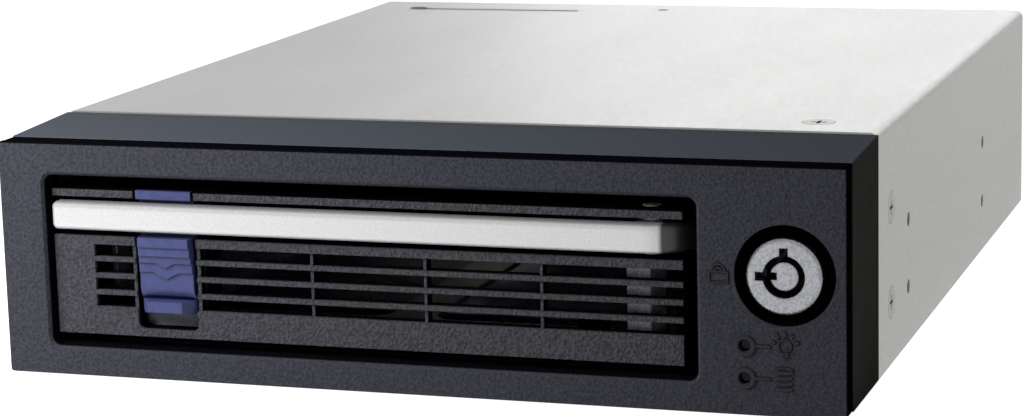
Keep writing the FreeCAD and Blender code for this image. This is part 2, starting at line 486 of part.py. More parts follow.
def front_collar():
    """Deep plastic bezel: sloping outer wall, carrier tunnel, lock web and the tongue in the cover."""
    points = [at(-HALF_W, FACE_D, 0), at(-HALF_W, BEZEL_D, 0), at(-HALF_W, BEZEL_D, BODY_H - COVER_PROUD),
              at(-HALF_W, FACE_D, FACE_H)]
    outer = prism(points, V(BAY_W, 0, 0))
    web_d = FACE_D + COLLAR_WEB
    hollow = block(COLLAR_WALL - HALF_W, HALF_W - COLLAR_WALL, web_d, BEZEL_D + OVER,
                   COLLAR_WALL, FACE_H - COLLAR_WALL)
    tunnel_box = block(TUNNEL_X0 - TUNNEL_WALL, TUNNEL_X1 + TUNNEL_WALL, FACE_D, BEZEL_D - OVER / 2,
                       TUNNEL_Z0 - TUNNEL_WALL, TUNNEL_Z1 + TUNNEL_WALL)
    tongue_x, tongue_z0, tongue_z1 = INNER_W - EASE, SHEET + EASE, BODY_H - SHEET - EASE
    tongue_end = BEZEL_D + TONGUE_L
    wall = COLLAR_WALL
    tongue = block(-tongue_x, tongue_x, BEZEL_D - wall, tongue_end, tongue_z0, tongue_z1)
    tongue = tongue.cut(block(wall - tongue_x, tongue_x - wall, BEZEL_D - wall - OVER,
                              tongue_end + OVER, tongue_z0 + wall, tongue_z1 - wall))
    lamp_boss_d = web_d - COLLAR_WEB / 2
    additions = [tunnel_box, tongue, rod(LAMP_BOSS_R, LAMP_SCREW_X, lamp_boss_d, LAMP_SCREW_Z, AXIS_Y,
                                         LAMP_BOARD_D - lamp_boss_d)]
    tools = [block(TUNNEL_X0, TUNNEL_X1, FACE_D - OVER, BEZEL_D + OVER, TUNNEL_Z0, TUNNEL_Z1),
             rod(LOCK_R + FIT, LOCK_X, FACE_D - OVER, LOCK_Z, AXIS_Y, COLLAR_WEB + 2 * OVER),
             rod(SMALL_SCREW_R, LAMP_SCREW_X, LAMP_BOARD_D - LAMP_BOSS_HOLE, LAMP_SCREW_Z, AXIS_Y,
                 LAMP_BOSS_HOLE + OVER)]
    for z in LAMP_ZS:
        tools.append(rod(LAMP_HOLE_R, LAMP_X, FACE_D - OVER, z, AXIS_Y, COLLAR_WEB + 2 * OVER))
    half = BOSS / 2
    for x, d, z, axis in collar_screw_places():
        if axis.z:
            additions.append(block(x - half, x + half, d - half, d + half, tongue_z1 - BOSS_H, tongue_z1))
        else:
            side = 1 if x > 0 else -1
            near, far = side * (tongue_x - BOSS_H), side * tongue_x
            additions.append(block(min(near, far), max(near, far), d - half, d + half, z - half,
                                   z + half))
        tools.append(Part.makeCylinder(SCREW_R, BOSS_HOLE_L, at(x, d, z), axis))
        tools.append(cone(SCREW_HEAD_R, SCREW_R, at(x, d, z), axis, SCREW_HEAD_R - SCREW_R))
    shell = outer.cut(hollow)
    return cut(shell.multiFuse(additions), tools).removeSplitter()


def collar_screws():
    """Countersunk screws through the cover into the collar's tongue."""
    return [flat_screw(x, d, z, axis, FACE_SCREW_L) for x, d, z, axis in collar_screw_places()]


# ---------------------------------------------------------------- cage: rails
def rail_sides():
    """Inner face and outward direction of the left and right rail, with the depth where each starts."""
    return ((TRAY_X0 - RAIL_GAP, -1, RAIL_LEFT_D), (TRAY_X1 + RAIL_GAP, 1, RAIL_RIGHT_D))


def rail_screw_places():
    """X and depth of each rail screw."""
    places = []
    for inner_x, side, _ in rail_sides():
        for d in RAIL_FOOT_DS:
            places.append((inner_x + side * RAIL_SCREW_OUT, d + RAIL_FOOT_L / 2))
    return places


def guide_rail(inner_x, side, start_d):
    """Grooved rail on two legs whose feet stand on the floor."""
    def span(reach_0, reach_1, d0, d1, z0, z1):
        a, b = inner_x + side * reach_0, inner_x + side * reach_1
        return block(min(a, b), max(a, b), d0, d1, z0, z1)

    rail_z0 = RUNNER_Z0 + RUNNER_H / 2 - RAIL_H / 2
    pieces = [span(0, RAIL_T, start_d, RAIL_END_D, rail_z0, rail_z0 + RAIL_H)]
    for d in RAIL_FOOT_DS:
        pieces.append(span(0, RAIL_LEG_T, d, d + RAIL_FOOT_L, SHEET, rail_z0))
        pieces.append(span(0, RAIL_FOOT_W, d, d + RAIL_FOOT_L, SHEET, SHEET + RAIL_FOOT_T))
    groove = span(-OVER, RUNNER_T - RAIL_GAP + GROOVE_EASE + SEAT, start_d - OVER, RAIL_END_D + OVER,
                  RUNNER_Z0 - GROOVE_EASE, RUNNER_Z0 + RUNNER_H + GROOVE_EASE)
    tools = [groove]
    for x, d in rail_screw_places():
        if (x - inner_x) * side > 0:
            tools.append(rod(SCREW_R, x, d, SHEET, AXIS_Z, RAIL_FOOT_T + OVER))
            tools.append(cone(SCREW_HEAD_R, SCREW_R, at(x, d, 0), AXIS_Z, SCREW_HEAD_R - SCREW_R))
    return cut(fused(pieces), tools)


def rail_screws():
    """Countersunk screws up through the floor into the rails' feet."""
    return [flat_screw(x, d, 0, AXIS_Z, SHEET + RAIL_FOOT_T) for x, d in rail_screw_places()]


# ---------------------------------------------------------------- cage: lock barrel and lamps
def lock_barrel():
    """Fixed barrel of the tubular lock, with its keyway notches."""
    sleeve = rod(LOCK_R, LOCK_X, -LOCK_PROUD, LOCK_Z, AXIS_Y, LOCK_L + LOCK_PROUD)
    sleeve = sleeve.makeChamfer(LOCK_BEVEL, [e for e in sleeve.Edges if isinstance(e.Curve, Part.Circle)
                                             and e.CenterOfMass.y < FACE_Y])
    front_d = -LOCK_PROUD - OVER
    tools = [rod(LOCK_BORE_R, LOCK_X, front_d, LOCK_Z, AXIS_Y, LOCK_L - front_d + OVER),
             rod(LOCK_CORE_R + FIT, LOCK_X, LOCK_MOUTH, LOCK_Z, AXIS_Y, LOCK_L)]
    for turn in (90, 180):
        notch = block(LOCK_X, LOCK_X + LOCK_NOTCH_REACH, front_d, LOCK_NOTCH_D,
                      LOCK_Z - LOCK_NOTCH_W / 2, LOCK_Z + LOCK_NOTCH_W / 2)
        notch.rotate(at(LOCK_X, 0, LOCK_Z), -AXIS_Y, turn)
        tools.append(notch)
    return cut(sleeve, tools)


def lock_nut():
    """Hexagonal nut that clamps the barrel to the collar's web."""
    nut = hexagon(LOCK_NUT_FLAT, LOCK_X, FACE_D + COLLAR_WEB, LOCK_Z, LOCK_NUT_T)
    return nut.cut(rod(LOCK_R + FIT, LOCK_X, 0, LOCK_Z, AXIS_Y, LOCK_L))


def lock_core():
    """Turning core with the key post in front and the squared tail that drives the cam."""
    core = rod(LOCK_CORE_R, LOCK_X, LOCK_MOUTH + FIT, LOCK_Z, AXIS_Y, LOCK_L - LOCK_MOUTH - FIT)
    post = rod(LOCK_POST_R, LOCK_X, -POST_PROUD, LOCK_Z, AXIS_Y, LOCK_MOUTH + OVER)
    tail = rod(LOCK_TAIL_R, LOCK_X, LOCK_L - OVER, LOCK_Z, AXIS_Y, CAM_D - LOCK_L + OVER)
    half = LOCK_SQUARE / 2
    square = block(LOCK_X - half, LOCK_X + half, CAM_D - OVER, CAM_D + CAM_T, LOCK_Z - half, LOCK_Z + half)
    notch = block(LOCK_X - LOCK_POST_R - OVER, LOCK_X - LOCK_POST_R + POST_NOTCH_DEPTH, -OVER,
                  LOCK_NOTCH_D, LOCK_Z - POST_NOTCH_W / 2, LOCK_Z + POST_NOTCH_W / 2)
    hole = rod(SMALL_SCREW_R, LOCK_X, LOCK_L, LOCK_Z, AXIS_Y, LOCK_L)
    return cut(fused([core, post, tail, square]), [notch, hole])


def lock_cam():
    """Flat arm on the core's tail, hanging down when the lock is open."""
    hub = rod(CAM_HUB_R, LOCK_X, CAM_D, LOCK_Z, AXIS_Y, CAM_T)
    arm = block(LOCK_X - CAM_W / 2, LOCK_X + CAM_W / 2, CAM_D, CAM_D + CAM_T, LOCK_Z - CAM_L, LOCK_Z)
    arm = rounded(arm, CAM_TIP_R, AXIS_Y, lambda p: p.z < LOCK_Z - CAM_L / 2)
    side = LOCK_SQUARE / 2 + FIT
    hole = block(LOCK_X - side, LOCK_X + side, CAM_D - OVER, CAM_D + CAM_T + OVER, LOCK_Z - side,
                 LOCK_Z + side)
    return fused([hub, arm]).cut(hole)


def cam_screw():
    """Screw that keeps the cam on the core's tail."""
    return pan_screw(LOCK_X, CAM_D + CAM_T, LOCK_Z, -AXIS_Y, SMALL_SCREW_L)


def led_board():
    """Small board behind the two indicator windows."""
    board = block(LAMP_X - LAMP_BOARD_LEFT, HALF_W - COLLAR_WALL - LAMP_BOARD_GAP, LAMP_BOARD_D,
                  LAMP_BOARD_D + LAMP_BOARD_T, COLLAR_WALL + LAMP_BOARD_GAP, LAMP_ZS[0] + LAMP_BOARD_TOP)
    return board.cut(rod(SMALL_SCREW_R + SEAT, LAMP_SCREW_X, LAMP_BOARD_D - OVER, LAMP_SCREW_Z, AXIS_Y,
                         LAMP_BOARD_T + 2 * OVER))


def led_lamps():
    """Surface-mounted lamps on the board."""
    return [block(LAMP_X - LAMP_W / 2, LAMP_X + LAMP_W / 2, LAMP_BOARD_D - LAMP_T, LAMP_BOARD_D,
                  z - LAMP_H / 2, z + LAMP_H / 2) for z in LAMP_ZS]


def light_pipes():
    """Clear rods from the lamps to the face."""
    end_d = LAMP_BOARD_D - LAMP_T - PIPE_GAP
    return [rod(LAMP_HOLE_R - FIT, LAMP_X, PIPE_SET, z, AXIS_Y, end_d - PIPE_SET) for z in LAMP_ZS]


def led_board_screw():
    """Screw into the collar's boss."""
    return pan_screw(LAMP_SCREW_X, LAMP_BOARD_D + LAMP_BOARD_T, LAMP_SCREW_Z, -AXIS_Y, SMALL_SCREW_L)


# ---------------------------------------------------------------- cage: backplane and fan
def board_hole_places():
    """X and Z of the backplane's fixing screws."""
    inset = BOARD_HOLE_INSET
    return [(x, z) for x in (BOARD_X0 + inset, BOARD_X1 - inset)
            for z in (BOARD_Z0 + inset, BOARD_Z1 - inset)]


def backplane_board():
    """Circuit board that joins the drive's socket to the rear plugs."""
    board = block(BOARD_X0, BOARD_X1, BOARD_D, BOARD_BACK_D, BOARD_Z0, BOARD_Z1)
    board = rounded(board, BOARD_R, AXIS_Y)
    return cut(board, [rod(SMALL_SCREW_R + BOARD_HOLE_EASE, x, BOARD_D - OVER, z, AXIS_Y,
                           BOARD_T + 2 * OVER) for x, z in board_hole_places()])


def board_standoffs():
    """Hexagonal spacers clinched into the rear panel."""
    spacers = []
    for x, z in board_hole_places():
        spacer = hexagon(2 * STANDOFF_R, x, BOARD_BACK_D, z, STANDOFF_L)
        spacers.append(spacer.cut(rod(SMALL_SCREW_R, x, BOARD_D, z, AXIS_Y, BOARD_T + STANDOFF_HOLE_L)))
    return spacers


def board_screws():
    """Screws through the board into the spacers."""
    return [pan_screw(x, BOARD_D, z, AXIS_Y, SMALL_SCREW_L) for x, z in board_hole_places()]


def drive_receptacle():
    """Plug block that mates with the drive: long and short tongues between two guide posts."""
    x, z = RECEPTACLE_X, DRIVE_Z0 + RECEPTACLE_RISE
    half, front_d = RECEPTACLE_W / 2, BOARD_D - RECEPTACLE_L
    low_z, high_z = z - RECEPTACLE_BELOW, z + RECEPTACLE_ABOVE
    pieces = [block(x - half, x + half, BOARD_D - RECEPTACLE_BASE_L, BOARD_D, low_z, high_z)]
    for post_x in (x - half, x + half - RECEPTACLE_POST_W):
        pieces.append(block(post_x, post_x + RECEPTACLE_POST_W, front_d, BOARD_D,
                            low_z + RECEPTACLE_POST_EASE, high_z - RECEPTACLE_POST_EASE))
    tongue_z, tongue_d = z - TONGUE_T / 2, front_d + TONGUE_SET
    for start, end in (LONG_TONGUE, SHORT_TONGUE):
        pieces.append(block(x + start, x + end, tongue_d, BOARD_D, tongue_z, tongue_z + TONGUE_T))
        pieces.append(block(x + start, x + start + KEY_W, tongue_d, BOARD_D, tongue_z, z + KEY_RISE))
    return fused(pieces)


def plug_shroud(box, wall):
    """Open-ended shroud on the back of the board, reaching the rear panel's opening."""
    x0, x1, z0, z1 = box
    shroud = block(x0, x1, BOARD_BACK_D, CAGE_D - PLUG_GAP, z0, z1)
    return shroud.cut(block(x0 + wall, x1 - wall, BOARD_BACK_D + PLUG_FLOOR, CAGE_D, z0 + wall, z1 - wall))


def data_socket():
    """Seven-way data plug with its L-shaped tongue."""
    x0, x1, z0, z1 = DATA_BOX
    start_d, end_d = BOARD_BACK_D + PLUG_FLOOR / 2, CAGE_D - PLUG_SET
    tongue_x, tongue_z = x0 + DATA_TONGUE_INSET, (z0 + z1 - TONGUE_T) / 2
    tongue = block(tongue_x, x1 - DATA_TONGUE_INSET, start_d, end_d, tongue_z, tongue_z + TONGUE_T)
    key = block(tongue_x, tongue_x + KEY_W, start_d, end_d, tongue_z, tongue_z + KEY_RISE)
    return fused([plug_shroud(DATA_BOX, DATA_WALL), tongue, key])


def power_header():
    """Four-way power plug with two bevelled corners."""
    shroud = plug_shroud(POWER_BOX, POWER_WALL)
    mid_x, near = (POWER_BOX[0] + POWER_BOX[1]) / 2, POWER_WALL / 2
    corners = edges_along(shroud, AXIS_Y, lambda p: p.z > POWER_BOX[3] - near
                          and abs(p.x - mid_x) > POWER_W / 2 - near)
    return shroud.makeChamfer(POWER_BEVEL, corners)


def power_pins():
    """Four round pins in the power plug."""
    mid_x, mid_z = (POWER_BOX[0] + POWER_BOX[1]) / 2, (POWER_BOX[2] + POWER_BOX[3]) / 2
    start_d, first_x = BOARD_BACK_D + PLUG_FLOOR, mid_x - POWER_PIN_PITCH * (POWER_PINS - 1) / 2
    return [rod(POWER_PIN_R, first_x + POWER_PIN_PITCH * i, start_d, mid_z, AXIS_Y,
                CAGE_D - POWER_PIN_SET - start_d) for i in range(POWER_PINS)]


def fan_hole_places():
    """X and Z of the fan's corner holes."""
    half = FAN_SIZE / 2 - FAN_HOLE_INSET
    return [(FAN_X + sx * half, FAN_Z + sz * half) for sx in (-1, 1) for sz in (-1, 1)]


def fan_frame():
    """Square frame with a round duct, a motor plate on four struts and the bearing tube."""
    half = FAN_SIZE / 2
    frame = block(FAN_X - half, FAN_X + half, FAN_D, PANEL_D, FAN_Z - half, FAN_Z + half)
    frame = rounded(frame, FAN_CORNER_R, AXIS_Y)
    frame = frame.cut(rod(FAN_BORE_R, FAN_X, FAN_D - OVER, FAN_Z, AXIS_Y, FAN_T + 2 * OVER))
    plate_d, reach = PANEL_D - FAN_PLATE_T, FAN_BORE_R + FAN_RIM / 4
    parts = [frame, rod(FAN_HUB_R, FAN_X, plate_d, FAN_Z, AXIS_Y, FAN_PLATE_T),
             rod(FAN_TUBE_R, FAN_X, FAN_D + FAN_TUBE_D, FAN_Z, AXIS_Y, FAN_T - FAN_TUBE_D)]
    for turn in (45, 135):
        strut = block(FAN_X - reach, FAN_X + reach, plate_d, PANEL_D, FAN_Z - FAN_STRUT_W / 2,
                      FAN_Z + FAN_STRUT_W / 2)
        strut.rotate(at(FAN_X, 0, FAN_Z), AXIS_Y, turn)
        parts.append(strut)
    tools = [rod(SCREW_R + 2 * SEAT, x, FAN_D - OVER, z, AXIS_Y, FAN_T + 2 * OVER)
             for x, z in fan_hole_places()]
    tools.append(rod(FAN_SHAFT_R + FIT, FAN_X, FAN_D, FAN_Z, AXIS_Y, FAN_T - FAN_PLATE_T / 2))
    return cut(fused(parts), tools)


def fan_rotor():
    """Hub cup on its shaft with pitched blades."""
    front_d, back_d = FAN_D + FAN_FRONT_GAP, PANEL_D - FAN_PLATE_T - FAN_BACK_GAP
    depth = back_d - front_d
    cup = rod(FAN_HUB_R, FAN_X, front_d, FAN_Z, AXIS_Y, depth)
    cup = cup.cut(rod(FAN_HUB_R - FAN_CUP_WALL, FAN_X, front_d + FAN_CUP_FLOOR, FAN_Z, AXIS_Y, FAN_T))
    shaft = rod(FAN_SHAFT_R, FAN_X, front_d, FAN_Z, AXIS_Y, depth + 2 * FAN_BACK_GAP)
    tip_r, root_r, mid_d = FAN_BORE_R - FAN_TIP_GAP, FAN_HUB_R - FAN_CUP_WALL / 2, (front_d + back_d) / 2
    duct = rod(tip_r, FAN_X, front_d, FAN_Z, AXIS_Y, depth)
    duct = duct.cut(rod(root_r, FAN_X, front_d - OVER, FAN_Z, AXIS_Y, depth + 2 * OVER))
    blades = []
    for i in range(FAN_BLADES):
        blade = block(FAN_X + root_r - OVER, FAN_X + tip_r + OVER, mid_d - BLADE_CHORD / 2,
                      mid_d + BLADE_CHORD / 2, FAN_Z - BLADE_T / 2, FAN_Z + BLADE_T / 2)
        blade.rotate(at(FAN_X, mid_d, FAN_Z), AXIS_X, BLADE_PITCH)
        blade.rotate(at(FAN_X, mid_d, FAN_Z), AXIS_Y, 360 * i / FAN_BLADES)
        blades.append(blade.common(duct))
    return fused([cup, shaft] + blades)


def fan_screws():
    """Screws through the fan into the rear panel."""
    return [pan_screw(x, FAN_D, z, AXIS_Y, FAN_T + SHEET, SCREW_R) for x, z in fan_hole_places()]


# ---------------------------------------------------------------- carrier
def grille_slots():
    """Rows of air slots on both sides of the latch channel, whose own ribs stand a little back."""
    slots = []
    x0, x1, back_d = CARRIER_X0 + GRILLE_LEFT_MARGIN, CARRIER_X1 + OVER, WALL_BACK_D + EASE
    for row in range(GRILLE_SLOTS):
        z = GRILLE_Z0 + row * GRILLE_PITCH
        z1 = z + GRILLE_SLOT_H
        slots.append(block(x0, CHANNEL_X0 - CHANNEL_RIB_W, 0, back_d, z, z1))
        slots.append(block(CHANNEL_X1 + CHANNEL_RIB_W, x1, 0, back_d, z, z1))
        slots.append(block(x0, x1, 0, CARRIER_SETBACK + CHANNEL_RIB_SET, z, z1))
    return slots


def carrier_front():
    """Moulded carrier front: grille, handle slot, latch channel, hinge pocket and cam arm."""
    front_d, back_d = CARRIER_SETBACK, CARRIER_REAR_D
    body = block(CARRIER_X0, CARRIER_X1, front_d, back_d, CARRIER_Z0, CARRIER_Z1)
    in_x0, in_x1 = CARRIER_X0 + SIDE_WALL, CARRIER_X1 - SIDE_WALL
    pocket_x = PIVOT_X - SWING_R - CHANNEL_WALL
    head_z = CARRIER_Z1 + PIN_PROUD - PIN_HEAD_H
    hollows = [
        block(in_x0, in_x1, WALL_BACK_D, back_d + OVER, CAVITY_Z0, CAVITY_Z1),
        block(in_x0, pocket_x, SLOT_BACK_D + SLOT_BACK_WALL, back_d + OVER, SLOT_Z0, SLOT_Z1),
        block(CARRIER_X0 - OVER, CARRIER_X1 + OVER, 0, SLOT_BACK_D, SLOT_Z0, SLOT_Z1),
        rod(SWING_R, PIVOT_X, PIVOT_D, SLOT_Z0, AXIS_Z, HANDLE_SLOT),
        rod(PIN_R, PIVOT_X, PIVOT_D, CARRIER_Z0 + PIN_FLOOR, AXIS_Z, CARRIER_Z1),
        rod(PIN_HEAD_R, PIVOT_X, PIVOT_D, head_z, AXIS_Z, PIN_HEAD_H + OVER),
    ]
    body = cut(body, hollows + grille_slots())

    wing_x0, wing_x1 = CHANNEL_X0 - LATCH_WING - SEAT, CHANNEL_X1 + LATCH_WING + SEAT
    guide = block(wing_x0 - CHANNEL_WALL, wing_x1 + CHANNEL_WALL, WALL_BACK_D,
                  CHANNEL_D + SLOT_BACK_WALL, CARRIER_Z0, SLOT_Z0)
    arm = block(TRAY_X1 + 2 * SEAT, CARRIER_X1, back_d - CHANNEL_WALL, back_d + CAM_ARM_L,
                LOCK_Z - CAM_ARM_H / 2, LOCK_Z + CAM_ARM_H / 2)
    seat_half = SPRING_COIL_R + CHANNEL_WALL / 2
    spring_seat = block(LATCH_X - seat_half, LATCH_X + seat_half, CHANNEL_D + SLOT_BACK_WALL / 2,
                        SPRING_D + seat_half, CAVITY_Z0, SPRING_SEAT_Z)
    ribs = []
    for i in range(GRILLE_RIBS):
        x = CHANNEL_X1 + GRILLE_RIB_PITCH * (i + 1) + CHANNEL_RIB_W
        ribs.append(block(x, x + GRILLE_RIB_W, front_d + GRILLE_RIB_SET, WALL_BACK_D,
                          GRILLE_Z0 - GRILLE_BAR / 2, GRILLE_Z1 + GRILLE_BAR / 2))
    bosses = [rod(TRAY_BOSS_R, x, TRAY_SCREW_D, CARRIER_Z0, AXIS_Z, TRAY_BOSS_H)
              for x in tray_screw_xs()]
    body = body.multiFuse([guide, arm, spring_seat] + ribs + bosses)

    lug_half = LATCH_LUG_W / 2 + 3 * SEAT
    channel = block(CHANNEL_X0, CHANNEL_X1, 0, CHANNEL_D, CHANNEL_Z0, CARRIER_Z1 + OVER)
    tools = [
        rounded(channel, CHANNEL_CORNER_R, AXIS_Y, lambda p: p.z < CHANNEL_Z0 + OVER),
        block(wing_x0, wing_x1, WALL_BACK_D - LATCH_WING_T / 2, CHANNEL_D, CAVITY_Z0,
              SLOT_Z0 - CHANNEL_WALL),
        block(LATCH_X - lug_half, LATCH_X + lug_half, CHANNEL_D - OVER, CHANNEL_D + 3 * OVER,
              LATCH_LUG_Z - LATCH_TRAVEL - 4 * SEAT, LATCH_LUG_Z + LATCH_LUG_H + 4 * SEAT),
        block(CARRIER_X1 - CAM_ARM_WALL, CARRIER_X1 + OVER, CAM_D - CAM_NOTCH, CAM_D + CAM_T + CAM_NOTCH,
              LOCK_Z - CAM_NOTCH_H / 2, LOCK_Z + CAM_NOTCH_H / 2),
    ]
    for x in tray_screw_xs():
        tools.append(rod(SCREW_R, x, TRAY_SCREW_D, TRAY_Z0, AXIS_Z, TRAY_SCREW_L))
        tools.append(cone(SCREW_HEAD_R, SCREW_R, at(x, TRAY_SCREW_D, TRAY_Z0), AXIS_Z,
                          SCREW_HEAD_R - SCREW_R))
    return cut(body, tools).removeSplitter()


def tray_screw_xs():
    """X of the two screws that hold the tray to the carrier front."""
    return (CARRIER_X0 + TRAY_SCREW_INSETS[0], CARRIER_X1 - TRAY_SCREW_INSETS[1])


def hinge_block():
    """Die-cast block behind the slots that carries the hinge pin: stepped flat front, one bevel."""
    x0, x1, middle_x = PIVOT_X - HINGE_BLOCK_REACH, PIVOT_X + BARREL_R, PIVOT_X - BARREL_R
    front_d, back_d = WALL_BACK_D, PIVOT_D + BARREL_R
    step_d = front_d + HINGE_BLOCK_STEP
    points = [at(x0, step_d, CAVITY_Z0), at(middle_x, step_d, CAVITY_Z0), at(middle_x, front_d, CAVITY_Z0),
              at(PIVOT_X, front_d, CAVITY_Z0), at(x1, PIVOT_D, CAVITY_Z0), at(x1, back_d, CAVITY_Z0),
              at(x0, back_d, CAVITY_Z0)]
    carried = prism(points, V(0, 0, CAVITY_Z1 - CAVITY_Z0))
    return carried.cut(rod(PIN_R, PIVOT_X, PIVOT_D, 0, AXIS_Z, BODY_H))


def latch_cap():
    """Blue cap in the gap of the top bar above the latch: a front plate on a tongue that stands on the
    channel's back."""
    x0, x1, z0 = LATCH_X - LATCH_W / 2, LATCH_X + LATCH_W / 2, SLOT_Z1 - SEAT
    plate_d = CARRIER_SETBACK + LATCH_CAP_T
    return fused([block(x0, x1, CARRIER_SETBACK, plate_d, z0, z0 + LATCH_CAP_H),
                  block(x0, x1, plate_d, CHANNEL_D, z0, z0 + LATCH_CAP_TONGUE)])


def drive_tray():
    """Sheet tray: floor with cooling cut-outs, two walls, rear stops and the drive's screw holes."""
    floor = block(TRAY_X0, TRAY_X1, TRAY_SCREW_D - TRAY_LIP, DRIVE_REAR_D, TRAY_Z0, TRAY_Z0 + SHEET)
    wall_d = DRIVE_FRONT_D + 2 * SEAT
    wall_z1 = TRAY_Z0 + TRAY_WALL_H
    walls = [block(TRAY_X0, TRAY_X0 + SHEET, wall_d, DRIVE_REAR_D, TRAY_Z0, wall_z1),
             block(TRAY_X1 - SHEET, TRAY_X1, wall_d, DRIVE_REAR_D, TRAY_Z0, wall_z1)]
    tray = fused([floor] + walls)
    tray = rounded(tray, TRAY_BEND_R, AXIS_Y, lambda p: p.z < TRAY_Z0 + SEAT and p.y > FACE_Y + wall_d)
    holes = []
    vent_l = (DRIVE_L - VENT_FRONT - VENT_BRIDGE - VENT_REAR) / 2
    vent_x0, vent_x1 = VENT_R, DRIVE_W / 2 - VENT_SIDE
    for side in (-1, 1):
        for i in range(2):
            d = DRIVE_FRONT_D + VENT_FRONT + i * (vent_l + VENT_BRIDGE)
            xs = sorted((DRIVE_X + side * vent_x0, DRIVE_X + side * vent_x1))
            vent = block(*xs, d, d + vent_l, TRAY_Z0 - OVER, TRAY_Z0 + SHEET + OVER)
            holes.append(rounded(vent, VENT_R, AXIS_Z))
        for ahead in DRIVE_BASE_HOLES:
            holes.append(rod(DRIVE_HOLE_R, DRIVE_X + side * (DRIVE_W / 2 - DRIVE_BASE_HOLE_INSET),
                             DRIVE_REAR_D - ahead, TRAY_Z0 - OVER, AXIS_Z, SHEET + 2 * OVER))
    for ahead in DRIVE_SIDE_HOLES:
        for x in (TRAY_X0 - OVER, TRAY_X1 - SHEET - OVER):
            holes.append(rod(DRIVE_HOLE_R, x, DRIVE_REAR_D - ahead, DRIVE_Z0 + DRIVE_SIDE_HOLE_Z,
                             AXIS_X, SHEET + 2 * OVER))
    sink = SCREW_HEAD_R + EASE
    for x in tray_screw_xs():
        holes.append(cone(sink, sink - SHEET, at(x, TRAY_SCREW_D, TRAY_Z0), AXIS_Z, SHEET))
    return cut(tray, holes)


def tray_runners():
    """Low-friction strips on the tray's walls that ride in the rails."""
    strips = []
    for x0, start_d in ((TRAY_X0 - RUNNER_T, RAIL_LEFT_D), (TRAY_X1, RAIL_RIGHT_D + OVER)):
        strips.append(block(x0, x0 + RUNNER_T, start_d, RAIL_END_D, RUNNER_Z0, RUNNER_Z0 + RUNNER_H))
    return strips


def tray_screws():
    """Countersunk screws up through the tray into the carrier front."""
    return [flat_screw(x, TRAY_SCREW_D, TRAY_Z0, AXIS_Z, TRAY_SCREW_L) for x in tray_screw_xs()]


def hinge_pin():
    """Headed pin that the handle turns on."""
    foot_z, head_z = CARRIER_Z0 + PIN_FLOOR, CARRIER_Z1 + PIN_PROUD - PIN_HEAD_H
    pin = rod(PIN_R, PIVOT_X, PIVOT_D, foot_z, AXIS_Z, head_z - foot_z)
    return fused([pin, rod(PIN_HEAD_R, PIVOT_X, PIVOT_D, head_z, AXIS_Z, PIN_HEAD_H)])


def latch_spring():
    """Coil spring that lifts the latch."""
    length = LATCH_LUG_Z - SPRING_SEAT_Z - 2 * SPRING_WIRE_R
    chords = SPRING_TURNS * SPRING_CHORDS
    middle = at(LATCH_X, SPRING_D, SPRING_SEAT_Z + SPRING_WIRE_R)
    points = []
    for i in range(chords + 1):
        turn = 2 * math.pi * i / SPRING_CHORDS
        points.append(middle + V(SPRING_COIL_R * math.cos(turn), SPRING_COIL_R * math.sin(turn),
                                 length * i / chords))
    corners = [math.pi * i / 3 for i in range(7)]
    section = Part.makePolygon([points[0] + V(SPRING_WIRE_R * math.cos(a), 0, SPRING_WIRE_R * math.sin(a))
                                for a in corners])
    return Part.makePolygon(points).makePipeShell([section], True, True, 1)


# ---------------------------------------------------------------- handle and latch
def handle():
    """Flat bar with a rounded heel, the ejecting toe, the catch lug and the hinge barrel."""
    x0, front_d = CARRIER_X0 + 3 * SEAT, HANDLE_D
    near = HANDLE_TIP_R / 2
    bar = block(x0, HEEL_X, front_d, front_d + HANDLE_T, HANDLE_Z0, HANDLE_Z1)
    heel = block(PIVOT_X - BARREL_R, HEEL_X, front_d, PIVOT_D + BARREL_R, HANDLE_Z0, HANDLE_Z1)
    toe = block(HEEL_X - TOE_W, HEEL_X, front_d, HANDLE_REACH, HANDLE_Z0, HANDLE_Z1)
    body = fused([bar, heel, toe])
    body = rounded(body, HANDLE_CORNER_R, AXIS_Z,
                   lambda p: p.x > HEEL_X - near and p.y < FACE_Y + front_d + near)
    body = rounded(body, HANDLE_TIP_R, AXIS_Z, lambda p: p.x < x0 + near and p.y < FACE_Y + front_d + near)
    body = rounded(body, HANDLE_TIP_R, AXIS_Y, lambda p: p.x < x0 + near)
    lug_z = HANDLE_Z0 + CATCH_RISE
    lug = block(LATCH_X - CATCH_W / 2, LATCH_X + CATCH_W / 2, front_d + HANDLE_T - SEAT,
                LATCH_BACK_D + 4 * SEAT, lug_z, lug_z + CATCH_H)
    barrel = rod(BARREL_R, PIVOT_X, PIVOT_D, SLOT_Z0 + 3 * SEAT, AXIS_Z, HANDLE_SLOT - 6 * SEAT)
    hole = rod(PIN_R + FIT, PIVOT_X, PIVOT_D, 0, AXIS_Z, BODY_H)
    return fused([body, lug, barrel]).cut(hole)


def latch_lap(low_z, dip, half, front_d):
    """Upper part of the pad down to a lap's lower edge, which dips to a point in the middle."""
    x0, x1, top_z = LATCH_X - LATCH_W / 2, LATCH_X + LATCH_W / 2, SLOT_Z0 + 2 * SEAT
    points = [at(x0, front_d, low_z), at(x1, front_d, low_z), at(x1, front_d, top_z), at(x0, front_d, top_z)]
    if dip:
        points[1:1] = [at(LATCH_X - half, front_d, low_z), at(LATCH_X, front_d, low_z - dip),
                       at(LATCH_X + half, front_d, low_z)]
    return prism(points, V(0, LATCH_BACK_D - front_d, 0))


